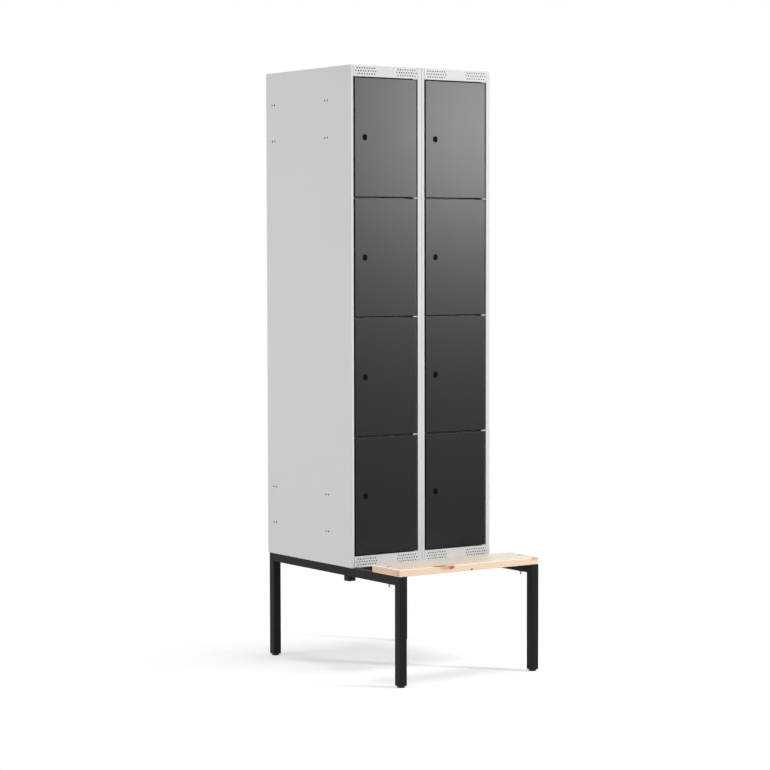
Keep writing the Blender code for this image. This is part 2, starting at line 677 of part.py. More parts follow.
def bench_bolt_mesh():
    """A bench bolt with a domed head on the plank and its nut done up under the rail."""
    seat = PLANK_TOP + FIT
    end = RAIL_UNDERSIDE - BENCH_BOLT_END
    quarter = [math.pi / 2 * step / DOME_STEPS for step in range(DOME_STEPS + 1)]
    dome = [(BENCH_BOLT_HEAD_RADIUS * math.cos(a), seat + BENCH_BOLT_HEAD_HEIGHT * math.sin(a))
            for a in quarter]
    dome[-1] = (0, seat + BENCH_BOLT_HEAD_HEIGHT)
    profile = [(0, end), (BENCH_BOLT_RADIUS, end), (BENCH_BOLT_RADIUS, seat)] + dome
    bolt = turned("bench_bolt", profile, BOLT_STEPS)
    nut = prism("bench_nut", circle(BENCH_NUT_RADIUS, HEX_SIDES), 2,
                RAIL_UNDERSIDE - FIT - BENCH_NUT_HEIGHT, RAIL_UNDERSIDE - FIT)
    return join(bolt, nut)


def module_bolt_mesh():
    """A bolt that holds a module down on a cross rail, with a hexagon head inside the module."""
    head_base = BASE_RISE + SHEET + FIT
    shank = prism("module_bolt", circle(MODULE_BOLT_RADIUS, BOLT_STEPS), 2,
                  head_base - MODULE_BOLT_LENGTH, head_base + MODULE_BOLT_HEAD_HEIGHT / 2)
    head = prism("module_bolt_head", circle(MODULE_BOLT_HEAD_RADIUS, HEX_SIDES), 2,
                 head_base, head_base + MODULE_BOLT_HEAD_HEIGHT)
    return join(shank, head)


def module_middle(module):
    """Where a module's middle lies along the front."""
    return -BODY_WIDTH / 2 + (module + 1 / 2) * MODULE_WIDTH


def build_modules(names, grey):
    """The fixed sheet-metal panels of every module."""
    panels = {
        "left_side": left_side_mesh(),
        "right_side": right_side_mesh(),
        "back": back_mesh(),
        "roof": roof_mesh(),
        "base": base_mesh(),
        "top_fascia": fascia_mesh("top_fascia", BODY_HEIGHT - FASCIA_HEIGHT),
        "bottom_fascia": fascia_mesh("bottom_fascia", 0),
    }
    shelf = shelf_mesh()
    for module, module_name in enumerate(names):
        corner = Vector((-BODY_WIDTH / 2 + module * MODULE_WIDTH, BODY_FRONT, BODY_BASE))
        for panel_name, mesh in panels.items():
            place(f"{module_name}_{panel_name}", mesh, grey, corner)
        for number in range(1, DOORS):
            height = door_middle(number) - DOOR_PITCH / 2
            place(f"{module_name}_shelf_{number}", shelf, grey, corner + Vector((0, 0, height)))


def build_doors(names, black, lock_black, zinc):
    """The doors, each with its lock housing and its turning cam, on their hinge axes."""
    door, housing, cam = door_mesh(), lock_housing_mesh(), lock_cam_mesh()
    for module, module_name in enumerate(names):
        left = -BODY_WIDTH / 2 + module * MODULE_WIDTH
        for number in range(1, DOORS + 1):
            height = BODY_BASE + door_middle(number)
            hinge = Vector((left + PIVOT_X, BODY_FRONT + PIVOT_SETBACK, height))
            lock = Vector((left + LOCK_X, BODY_FRONT, height))
            leaf = place(f"{module_name}_door_{number}", door, black, hinge)
            place(f"{module_name}_lock_housing_{number}", housing, lock_black, lock, leaf)
            place(f"{module_name}_lock_cam_{number}", cam, zinc, lock, leaf)


def build_frame(names, black, plastic):
    """The two side frames, the two cross rails and the four foot glides."""
    side_frame = side_frame_mesh()
    glide = glide_mesh()
    for name, side in zip(names, (-1, 1)):
        x = side * (FRAME_HALF_WIDTH - TUBE / 2)
        place(f"{name}_side_frame", side_frame, black, Vector((x, 0, 0)))
        for end, y in (("front", BENCH_FRONT + TUBE / 2), ("rear", FRAME_BACK - TUBE / 2)):
            place(f"{name}_{end}_foot_glide", glide, plastic, Vector((x, y, 0)))
    for end, y in zip(("front", "rear"), MODULE_BOLT_YS):
        name = f"{end}_cross_rail"
        place(name, cross_rail_mesh(name, y), black, Vector((0, 0, 0)))


def build_bench(names, wood, zinc):
    """The bench plank, its two bolts and the four bolts that hold the modules down."""
    place("bench_plank", plank_mesh(), wood, Vector((0, 0, 0)))
    bench_bolt = bench_bolt_mesh()
    for name, side in zip(names, (-1, 1)):
        place(f"{name}_bench_bolt", bench_bolt, zinc, Vector((side * BENCH_BOLT_X, BENCH_BOLT_Y, 0)))
    module_bolt = module_bolt_mesh()
    for module, name in enumerate(names):
        for end, y in zip(("front", "rear"), MODULE_BOLT_YS):
            seat = Vector((module_middle(module), y, BODY_BASE))
            place(f"{name}_{end}_module_bolt", module_bolt, zinc, seat)


def build():
    """Models the whole locker."""
    clear_scene()
    grey = make_material("light_grey_paint", (0.72, 0.73, 0.73), 0.45, 0.0)
    door_black = make_material("black_door_paint", (0.022, 0.022, 0.023), 0.35, 0.0)
    frame_black = make_material("black_tube_paint", (0.020, 0.020, 0.021), 0.45, 0.0)
    plastic = make_material("black_plastic", (0.015, 0.015, 0.015), 0.6, 0.0)
    lock_black = make_material("black_lock", (0.008, 0.008, 0.008), 0.6, 0.0)
    zinc = make_material("zinc_steel", (0.55, 0.56, 0.57), 0.35, 1.0)
    wood = make_material("pine", (0.80, 0.62, 0.42), 0.55, 0.0)
    names = ("left", "right")
    build_modules(names, grey)
    build_doors(names, door_black, lock_black, zinc)
    build_frame(names, frame_black, plastic)
    build_bench(names, wood, zinc)


build()
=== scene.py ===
"""Dresses the two-column locker and its bench: finer panels, doors, locks, tubes, bolts and pine.

Everything is in metres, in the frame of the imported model: X along the front from left to right, Y from
the bench to the back, Z up from the floor. A kind of piece that repeats is mostly modelled once, in the
place of one of its nodes, and copied to the places of the others.
"""
import json
import math

import bmesh
import bpy
from mathutils import Matrix, Vector

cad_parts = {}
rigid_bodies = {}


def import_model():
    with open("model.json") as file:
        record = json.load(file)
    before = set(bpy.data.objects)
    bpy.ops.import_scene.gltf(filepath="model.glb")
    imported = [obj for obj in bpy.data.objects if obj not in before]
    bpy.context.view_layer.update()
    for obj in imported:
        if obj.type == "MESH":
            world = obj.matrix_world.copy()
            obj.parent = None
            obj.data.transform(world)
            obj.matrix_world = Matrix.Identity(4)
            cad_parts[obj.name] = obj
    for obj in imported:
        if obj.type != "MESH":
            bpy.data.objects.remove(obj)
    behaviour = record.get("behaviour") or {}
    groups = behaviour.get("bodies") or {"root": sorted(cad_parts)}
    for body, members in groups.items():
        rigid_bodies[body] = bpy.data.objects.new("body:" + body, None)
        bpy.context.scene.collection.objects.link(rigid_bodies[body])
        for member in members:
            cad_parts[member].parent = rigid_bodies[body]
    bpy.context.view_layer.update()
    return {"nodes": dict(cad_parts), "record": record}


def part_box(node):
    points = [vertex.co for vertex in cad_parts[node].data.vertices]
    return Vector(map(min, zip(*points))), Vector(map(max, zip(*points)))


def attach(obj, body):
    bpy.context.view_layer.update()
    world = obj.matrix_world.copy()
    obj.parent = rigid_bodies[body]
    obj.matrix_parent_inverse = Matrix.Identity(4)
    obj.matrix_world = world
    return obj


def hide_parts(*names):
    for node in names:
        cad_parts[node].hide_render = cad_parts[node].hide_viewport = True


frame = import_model()

# Camera, at the photograph's place, with its lens and sensor in millimetres
CAMERA_PLACE = (-4.9046, -7.0112, 1.4850)
CAMERA_HEADING = math.radians(34.601)
CAMERA_TILT = math.radians(-3.244)
CAMERA_ROLL = math.radians(-0.108)
CAMERA_LENS = 112.09
CAMERA_SENSOR = 36

# Studio lamps, with their powers in watts, and the fill light
KEY_PLACE = (3.35, -4.15, 2.27)
KEY_TARGET = (0, -0.13, 1.2)
KEY_WIDTH = 0.43
KEY_HEIGHT = 0.86
KEY_POWER = 181
SIDE_PLACE = (-4.2, 0.9, 1.7)
SIDE_TARGET = (-0.3, 0.15, 1.1)
SIDE_SIZE = 3.0
SIDE_POWER = 77
TOP_PLACE = (1.0, -0.75, 7.0)
TOP_TARGET = (0.0, -0.40, 0.4)
TOP_WIDTH = 2.9
TOP_LENGTH = 5.8
TOP_POWER = 262
FILL_STRENGTH = 0.40
WHITE = (1, 1, 1, 1)

# Floor
FLOOR_HALF = 30
FLOOR_COLOUR = (0.80, 0.80, 0.80, 1)
FLOOR_GLOW = 0.28
FLOOR_FADE_START = 0.30
FLOOR_FADE_END = 1.0

# Modelling: tolerances, angles between faces, and the fineness of round shapes
NEAR = 0.00002
OVERRUN = 0.002
FACING = 0.9
SMOOTH_ANGLE = math.radians(32)
SHARP_ANGLE = math.radians(30)
SQUARE_ANGLE = math.radians(60)
HOLE_SIDES = 16
RIM_SEGMENTS = 2
DIRECTIONS = {"X": Vector((1, 0, 0)), "Y": Vector((0, 1, 0)), "Z": Vector((0, 0, 1))}
TURNED_TO = {"X": (0, math.pi / 2, 0), "Y": (-math.pi / 2, 0, 0), "Z": (0, 0, 0)}

# Modules of folded sheet steel
SIDES = ("left", "right")
ENDS = ("front", "rear")
DOORS = 4
SEAM = 0.0003
SHEET = 0.001
FOLD_RADIUS = 0.0016
FOLD_SEGMENTS = 5
LEFT_STILE = 0.012
RIGHT_STILE = 0.017
STILE_DEPTH = 0.020
STOP_EDGE = 0.024
REAR_FLANGE = 0.015
MODULE_WIDTH = 0.300
DRILL_LENGTH = 4 * SHEET

# Holes through which neighbouring modules are screwed together
JOIN_HOLE_RADIUS = 0.0035
JOIN_HOLE_FROM_FRONT = 0.1545
JOIN_HOLE_FROM_BACK = 0.050
JOIN_HOLE_SPACING = 0.016
JOIN_HOLE_RISES = (0.115, 0.245)

# Hinge tabs and pins
PIVOT_INSET = 0.008
PIVOT_SETBACK = 0.008
TAB_PAST_PIVOT = 0.007
TAB_THICKNESS = 0.002
GAP_TAB_THICKNESS = 0.0032
TAB_SETBACK = 0.001
TAB_DEPTH = 0.016
TAB_CORNER = 0.005
TAB_GAP = 0.0003
PIN_RADIUS = 0.0025
PIN_REACH = 0.007
PIN_CHAMFER = 0.0006
PIN_SIDES = 20
PIN_BORE = 0.0028

# Perforated fascias
VENT_RADIUS = 0.0025
VENT_PITCH = 0.0103
VENT_ROW_PITCH = 0.010
VENT_ROWS = (8, 9, 8)
VENT_MARGIN = 0.006
VENT_SIDES = 12

# Doors
DOOR_LIP = 0.012

# Cam locks
LOCK_RADIUS = 0.0107
LOCK_HALF_FLATS = 0.0092
LOCK_CLEARANCE = 0.0003
LOCK_SIDES = 40
LOCK_RECESS = 0.0006
LOCK_RIM = 0.0004
LOCK_NUT_RADIUS = 0.0145
LOCK_NUT_FRONT = 0.0013
LOCK_NUT_DEPTH = 0.004
PLUG_RADIUS = 0.0062
PLUG_NOSE_RADIUS = 0.0052
PLUG_FRONT = 0.0010
PLUG_SHOULDER = 0.0022
KEY_SLOT_WIDTH = 0.0012
KEY_SLOT_HEIGHT = 0.0072
KEY_SLOT_DEPTH = 0.0040
CAM_THICKNESS = 0.002
CAM_HALF_WIDTH = 0.008
CAM_END_SEGMENTS = 12
CAM_EDGE = 0.0003
CAM_NUT_RADIUS = 0.0058
CAM_NUT_DEPTH = 0.0025
NUT_CHAMFER = 0.0005

# Square tube
TUBE = 0.030
TUBE_WALL = 0.002
TUBE_CORNER = 0.0016
TUBE_SEGMENTS = 4
STUB_SETBACK = 0.022
STUB_DROP = 0.018

# Foot glides
GLIDE_HEIGHT = 0.006
GLIDE_RADIUS = 0.013
GLIDE_EDGE = 0.0016
GLIDE_FLANGE = 0.0015
GLIDE_PLUG_INSET = 0.0018
GLIDE_PLUG_CORNER = 0.0010
GLIDE_SIDES = 48
QUARTER_STEPS = 4

# Bolts
BENCH_BOLT_RADIUS = 0.003
BENCH_HEAD_RADIUS = 0.0072
BENCH_HEAD_HEIGHT = 0.003
BENCH_NUT_RADIUS = 0.0058
BENCH_NUT_HEIGHT = 0.005
MODULE_BOLT_RADIUS = 0.004
MODULE_HEAD_RADIUS = 0.0075
MODULE_HEAD_HEIGHT = 0.005
BOLT_CLEARANCE = 0.0004
BOLT_SIDES = 24
HEX_SIDES = 6
THREAD_PITCH = 0.001
THREAD_DEPTH = 0.0003
BOLT_TIP = 0.0006
DOME_TOP = 0.0008

# Bench plank
PLANK_EDGE = 0.0030
PLANK_EDGE_SEGMENTS = 5

# A Mix node's sockets for its share and its two colours, and for the blend of them
MIX_INPUTS = (0, 6, 7)
MIX_OUTPUT = 2

# Paints, plating and plastic: the material's name, colour, roughness, mottle, height and scale of its
# grain, gloss, share of metal, and how dull the dust makes it on top
FINISHES = {
    "light_grey_paint": ("light_grey_coat", (0.585, 0.585, 0.58), 0.50, 0.02, 1.0, 700, 0.28, 0.0, 0.45),
    "black_door_paint": ("black_door_coat", (0.0012, 0.0012, 0.0012), 0.345, 0.05, 1.0, 700, 0.23, 0.0, 0.0),
    "black_tube_paint": ("black_tube_coat", (0.0075, 0.0069, 0.0071), 0.42, 0.05, 1.0, 700, 0.12, 0.0, 0.0),
    "black_lock": ("black_lock_face", (0.001, 0.001, 0.001), 0.6, 0.05, 0.6, 900, 0.05, 0.0, 0.0),
    "zinc_steel": ("zinc_plate", (0.52, 0.52, 0.51), 0.42, 0.10, 1.0, 1500, 0.5, 1.0, 0.0),
    "black_plastic": ("black_moulding", (0.004, 0.004, 0.004), 0.5, 0.05, 1.5, 2500, 0.3, 0.0, 0.0),
}
PEEL_NOISE = {"Detail": 2.0, "Roughness": 0.5}
CLOUD_NOISE = {"Scale": 9.0, "Detail": 3.0, "Roughness": 0.55}
SPECK_NOISE = {"Scale": 160.0, "Detail": 2.0, "Roughness": 0.6}
DUST_FADE = (0.80, 0.98)
COAT_BUMP = {"Strength": 0.35, "Distance": 0.0001}

# Pine's colours
PALE_PINE = (0.800, 0.640, 0.490, 1)
LATE_PINE = (0.660, 0.450, 0.290, 1)
STREAK_PINE = (0.700, 0.480, 0.300, 1)
FIBRE_PINE = (0.560, 0.370, 0.220, 1)
# painted sheen: the paler, greyer colour given to upward faces, in place of the lacquer's reflection of the
# bright surroundings
TOP_SHEEN_PINE = (0.800, 0.745, 0.670, 1)
# painted highlight: the pale cream of the rounded edges between the plank's ends and its top, in place of
# the light those edges catch
EDGE_HIGHLIGHT_PINE = (0.960, 0.870, 0.780, 1)
END_TINT = (0.95, 0.85, 0.82, 1)
END_RING = (0.520, 0.290, 0.190, 1)
END_LINE = (0.400, 0.220, 0.130, 1)

# Pine's growth rings about a pith below the plank, and the dark line in its end grain
PITH_Y = -0.352
PITH_Z = 0.300
RING_SPACING = 0.0052
RING_WANDER = 0.016
END_RING_SHARE = 0.7
END_LINE_SETBACK = 0.0115
END_LINE_WIDTH = 0.0035
END_LINE_CORE = 0.001
END_LINE_SHARE = 0.8

# Pine's noises: their scale per metre along X, Y and Z, their detail and their roughness
WANDER_NOISE = ((1.3, 7.0, 7.0), 2.0, 0.45)
STREAK_NOISE = ((5.0, 90.0, 90.0), 3.0, 0.6)
FIBRE_NOISE = ((35.0, 900.0, 900.0), 2.0, 0.6)
BROAD_NOISE = ((2.2, 16.0, 16.0), 2.0, 0.5)

# Where pine's effects fade in: the start and the end, and for some how little and how much they show
LATE_WOOD_RISE = (0.25, 0.88)
LATE_WOOD_END = (1.0, 0.90)
LATE_WOOD_SHARE = (0.25, 0.75, 0.35, 1.0)
STREAK_FADE = (0.42, 0.75, 0.0, 0.35)
FIBRE_FADE = (0.55, 0.80, 0.0, 0.22)
# painted sheen: how far a face must point up before it takes the paler top colour
TOP_SHEEN_FADE = (0.55, 0.95, 0.0, 0.55)
END_GRAIN_FADE = (0.93, 0.999)
# painted highlight: where the rounded edges between the ends and the top turn pale cream
EDGE_HIGHLIGHT_FADE_ENDWAYS = (0.05, 0.30)
EDGE_HIGHLIGHT_FADE_UP = (0.10, 0.40)

# Pine's lacquer and relief
PINE_ROUGHNESS = 0.34
PINE_FIBRE_ROUGHNESS = 0.16
PINE_END_ROUGHNESS = 0.20
PINE_FIBRE_RELIEF = 0.6
PINE_RING_RELIEF = 0.4
PINE_BUMP = {"Strength": 0.30, "Distance": 0.00025}
PINE_GLOSS = 0.5

# Knots and their stains in the plank's front edge, back to front in the paint: place along the plank,
# height, half width, half height, reach to the back, raggedness, strength and colour
KNOT_PULL = -0.22
KNOT_RIM = 1.3
KNOT_CORE = 0.5
KNOT_MARKS = (
    (-0.098, 0.3970, 0.0380, 0.0100, 0.030, 1.2, 0.85, (0.560, 0.270, 0.130, 1)),
    (0.278, 0.3985, 0.0260, 0.0090, 0.030, 1.2, 0.55, (0.640, 0.330, 0.185, 1)),
    (-0.129, 0.4030, 0.0340, 0.0024, 0.024, 0.9, 1.00, (0.230, 0.105, 0.055, 1)),
    (-0.081, 0.3960, 0.0125, 0.0064, 0.030, 0.3, 1.00, (0.360, 0.105, 0.038, 1)),
    (0.005, 0.3826, 0.0050, 0.0030, 0.010, 0.0, 1.00, (0.080, 0.040, 0.025, 1)),
    (0.280, 0.4000, 0.0120, 0.0040, 0.030, 0.3, 0.50, (0.360, 0.130, 0.060, 1)),
)


def new_material(name):
    """A new node material, its node tree and its Principled shader."""
    material = bpy.data.materials.new(name)
    material.use_nodes = True
    tree = material.node_tree
    return material, tree, tree.nodes["Principled BSDF"]


def add_node(tree, kind, **values):
    """A node of that kind, with its settings or its sockets' values by name."""
    node = tree.nodes.new(kind)
    for name, value in values.items():
        if hasattr(node, name):
            setattr(node, name, value)
        else:
            node.inputs[name.replace("_", " ")].default_value = value
    return node


def compute(tree, operation, *values):
    """The result of one step of arithmetic on numbers and other nodes' outputs."""
    node = add_node(tree, "ShaderNodeMath", operation=operation)
    for socket, value in zip(node.inputs, values):
        if isinstance(value, bpy.types.NodeSocket):
            tree.links.new(value, socket)
        else:
            socket.default_value = value
    return node.outputs[0]


def squared(tree, value):
    """The square of another node's output."""
    return compute(tree, "MULTIPLY", value, value)


def fade(tree, value, start, end, low=0.0, high=1.0):
    """Goes softly from the low to the high value while the given one goes from start to end."""
    node = add_node(tree, "ShaderNodeMapRange", interpolation_type="SMOOTHSTEP")
    tree.links.new(value, node.inputs["Value"])
    node.inputs["From Min"].default_value = start
    node.inputs["From Max"].default_value = end
    node.inputs["To Min"].default_value = low
    node.inputs["To Max"].default_value = high
    return node.outputs["Result"]


def blend_colours(tree, share, first, second, kind="MIX"):
    """Mixes two colours, each a plain colour or another node's output, by a share."""
    node = add_node(tree, "ShaderNodeMix", data_type="RGBA", blend_type=kind)
    for place, value in zip(MIX_INPUTS, (share, first, second)):
        if isinstance(value, bpy.types.NodeSocket):
            tree.links.new(value, node.inputs[place])
        else:
            node.inputs[place].default_value = value
    return node.outputs[MIX_OUTPUT]


def add_camera():
    """The camera that the photograph was taken with."""
    data = bpy.data.cameras.new("camera")
    data.lens = CAMERA_LENS
    data.sensor_width = CAMERA_SENSOR
    camera = bpy.data.objects.new("camera", data)
    bpy.context.collection.objects.link(camera)
    turn = Matrix.Rotation(-CAMERA_HEADING, 4, "Z")
    tilt = Matrix.Rotation(math.pi / 2 + CAMERA_TILT, 4, "X")
    roll = Matrix.Rotation(CAMERA_ROLL, 4, "Z")
    camera.matrix_world = Matrix.Translation(CAMERA_PLACE) @ turn @ tilt @ roll
    bpy.context.scene.camera = camera


def add_lamp(name, place, target, width, height, power):
    """A soft rectangular lamp that faces its target, and that the camera doesn't see."""
    data = bpy.data.lights.new(name, "AREA")
    data.shape = "RECTANGLE"
    data.size = width
    data.size_y = height
    data.energy = power
    lamp = bpy.data.objects.new(name, data)
    bpy.context.collection.objects.link(lamp)
    lamp.location = place
    lamp.rotation_euler = (Vector(target) - Vector(place)).to_track_quat("-Z", "Y").to_euler()
    lamp.visible_camera = False


def background_rays(tree):
    """Is 1 for the rays that show the background: the camera's, and those off gloss or through glass."""
    path = tree.nodes.new("ShaderNodeLightPath")
    gloss = compute(tree, "MAXIMUM", path.outputs["Is Camera Ray"], path.outputs["Is Glossy Ray"])
    return compute(tree, "MAXIMUM", gloss, path.outputs["Is Transmission Ray"])


def light_world():
    """An even fill light, which shows as plain white behind the object."""
    world = bpy.data.worlds.new("studio")
    world.use_nodes = True
    bpy.context.scene.world = world
    tree = world.node_tree
    background = tree.nodes["Background"]
    background.inputs["Color"].default_value = WHITE
    strength = add_node(tree, "ShaderNodeMapRange", To_Min=FILL_STRENGTH, To_Max=1)
    tree.links.new(background_rays(tree), strength.inputs["Value"])
    tree.links.new(strength.outputs[0], background.inputs["Strength"])


def add_floor():
    """A plain white floor that keeps the object's soft shadow and fades to the background."""
    bpy.ops.object.select_all(action="DESELECT")
    bpy.ops.mesh.primitive_plane_add(size=2 * FLOOR_HALF, location=(0, 0, 0))
    floor = bpy.context.active_object
    floor.name = "floor"
    material, tree, shader = new_material("studio_floor")
    tree.nodes.remove(shader)
    shown = background_rays(tree)
    paint = add_node(tree, "ShaderNodeBsdfDiffuse", Color=FLOOR_COLOUR)
    lift = add_node(tree, "ShaderNodeEmission", Color=WHITE)
    tree.links.new(compute(tree, "MULTIPLY", shown, FLOOR_GLOW), lift.inputs["Strength"])
    lifted = tree.nodes.new("ShaderNodeAddShader")
    tree.links.new(paint.outputs[0], lifted.inputs[0])
    tree.links.new(lift.outputs[0], lifted.inputs[1])
    place = tree.nodes.new("ShaderNodeTexCoord")
    distance = add_node(tree, "ShaderNodeVectorMath", operation="LENGTH")
    tree.links.new(place.outputs["Object"], distance.inputs[0])
    away = fade(tree, distance.outputs["Value"], FLOOR_FADE_START, FLOOR_FADE_END)
    white = add_node(tree, "ShaderNodeEmission", Color=WHITE, Strength=1.0)
    mix = tree.nodes.new("ShaderNodeMixShader")
    tree.links.new(compute(tree, "MULTIPLY", away, shown), mix.inputs["Fac"])
    tree.links.new(lifted.outputs[0], mix.inputs[1])
    tree.links.new(white.outputs[0], mix.inputs[2])
    tree.links.new(mix.outputs[0], tree.nodes["Material Output"].inputs["Surface"])
    floor.data.materials.append(material)


def surface_group():
    """A finish's unevenness: a faint mottle, an uneven sheen, a fine grain, and dull dust on top."""
    group = bpy.data.node_groups.new("surface_unevenness", "ShaderNodeTree")
    sockets = group.interface
    sockets.new_socket("Colour", in_out="INPUT", socket_type="NodeSocketColor")
    for name in ("Roughness", "Mottle", "Grain", "Grain Scale", "Dust"):
        sockets.new_socket(name, in_out="INPUT", socket_type="NodeSocketFloat")
    sockets.new_socket("Colour", in_out="OUTPUT", socket_type="NodeSocketColor")
    for name in ("Roughness", "Height"):
        sockets.new_socket(name, in_out="OUTPUT", socket_type="NodeSocketFloat")
    given = group.nodes.new("NodeGroupInput")
    result = group.nodes.new("NodeGroupOutput")
    place = group.nodes.new("ShaderNodeTexCoord")
    peel = add_node(group, "ShaderNodeTexNoise", **PEEL_NOISE)
    cloud = add_node(group, "ShaderNodeTexNoise", **CLOUD_NOISE)
    speck = add_node(group, "ShaderNodeTexNoise", **SPECK_NOISE)
    for noise in (peel, cloud, speck):
        group.links.new(place.outputs["Object"], noise.inputs["Vector"])
    group.links.new(given.outputs["Grain Scale"], peel.inputs["Scale"])
    mixed = compute(group, "ADD", cloud.outputs["Fac"], speck.outputs["Fac"])
    swing = compute(group, "MULTIPLY", compute(group, "SUBTRACT", mixed, 1.0), given.outputs["Mottle"])
    level = compute(group, "ADD", swing, 1.0)
    tint = add_node(group, "ShaderNodeVectorMath", operation="SCALE")
    group.links.new(given.outputs["Colour"], tint.inputs[0])
    group.links.new(level, tint.inputs["Scale"])
    group.links.new(tint.outputs[0], result.inputs["Colour"])
    facing = group.nodes.new("ShaderNodeSeparateXYZ")
    group.links.new(place.outputs["Normal"], facing.inputs[0])
    upwards = fade(group, facing.outputs["Z"], *DUST_FADE)
    dust = compute(group, "MULTIPLY", upwards, given.outputs["Dust"])
    sheen = compute(group, "MULTIPLY", given.outputs["Roughness"], level)
    group.links.new(compute(group, "ADD", sheen, dust), result.inputs["Roughness"])
    relief = compute(group, "MULTIPLY", peel.outputs["Fac"], given.outputs["Grain"])
    group.links.new(relief, result.inputs["Height"])
    return group


def finish(group, name, colour, roughness, mottle, grain, grain_scale, gloss, metal, dust):
    """A material with the shared unevenness at its own strength."""
    material, tree, shader = new_material(name)
    surface = tree.nodes.new("ShaderNodeGroup")
    surface.node_tree = group
    surface.inputs["Colour"].default_value = (*colour, 1)
    surface.inputs["Roughness"].default_value = roughness
    surface.inputs["Mottle"].default_value = mottle
    surface.inputs["Grain"].default_value = grain
    surface.inputs["Grain Scale"].default_value = grain_scale
    surface.inputs["Dust"].default_value = dust
    bump = add_node(tree, "ShaderNodeBump", **COAT_BUMP)
    tree.links.new(surface.outputs["Colour"], shader.inputs["Base Color"])
    tree.links.new(surface.outputs["Roughness"], shader.inputs["Roughness"])
    tree.links.new(surface.outputs["Height"], bump.inputs["Height"])
    tree.links.new(bump.outputs["Normal"], shader.inputs["Normal"])
    shader.inputs["Specular IOR Level"].default_value = gloss
    shader.inputs["Metallic"].default_value = metal
    return material


def stretched_noise(tree, place, scale, detail, roughness):
    """Noise drawn out along the plank: the scale is per metre along X, Y and Z."""
    mapping = add_node(tree, "ShaderNodeMapping", Scale=scale)
    tree.links.new(place, mapping.inputs["Vector"])
    noise = add_node(tree, "ShaderNodeTexNoise", Scale=1.0, Detail=detail, Roughness=roughness)
    tree.links.new(mapping.outputs["Vector"], noise.inputs["Vector"])
    return noise.outputs["Fac"]


def plank_front():
    """The place along Y of the bench plank's front edge."""
    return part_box("bench_plank")[0].y


def pine_rings(tree, y, z, wander):
    """The distance from the pith, which the growth rings follow, with their slow wander."""
    across = squared(tree, compute(tree, "SUBTRACT", y, PITH_Y))
    up = squared(tree, compute(tree, "SUBTRACT", z, PITH_Z))
    radius = compute(tree, "SQRT", compute(tree, "ADD", across, up))
    return compute(tree, "ADD", radius, compute(tree, "MULTIPLY", wander, RING_WANDER))


def pine_knots(tree, x, y, z, streak, radius):
    """Pulls the rings round the knots, and gives the new distance and each mark's mask and colour."""
    marks = []
    for mark_x, mark_z, half_width, half_height, reach, ragged, strength, colour in KNOT_MARKS:
        beside = compute(tree, "DIVIDE", compute(tree, "SUBTRACT", x, mark_x), half_width)
        above = compute(tree, "DIVIDE", compute(tree, "SUBTRACT", z, mark_z), half_height)
        square = compute(tree, "ADD", squared(tree, beside), squared(tree, above))
        nearness = fade(tree, y, plank_front() + reach, plank_front())
        swell = compute(tree, "EXPONENT", compute(tree, "MULTIPLY", square, KNOT_PULL))
        swell = compute(tree, "MULTIPLY", swell, nearness)
        radius = compute(tree, "ADD", radius, compute(tree, "MULTIPLY", swell, half_height / 2))
        ragged_square = compute(tree, "ADD", square, compute(tree, "MULTIPLY", streak, ragged))
        mask = fade(tree, ragged_square, KNOT_RIM + ragged / 2, KNOT_CORE)
        mask = compute(tree, "MULTIPLY", mask, nearness)
        marks.append((compute(tree, "MULTIPLY", mask, strength), colour))
    return radius, marks


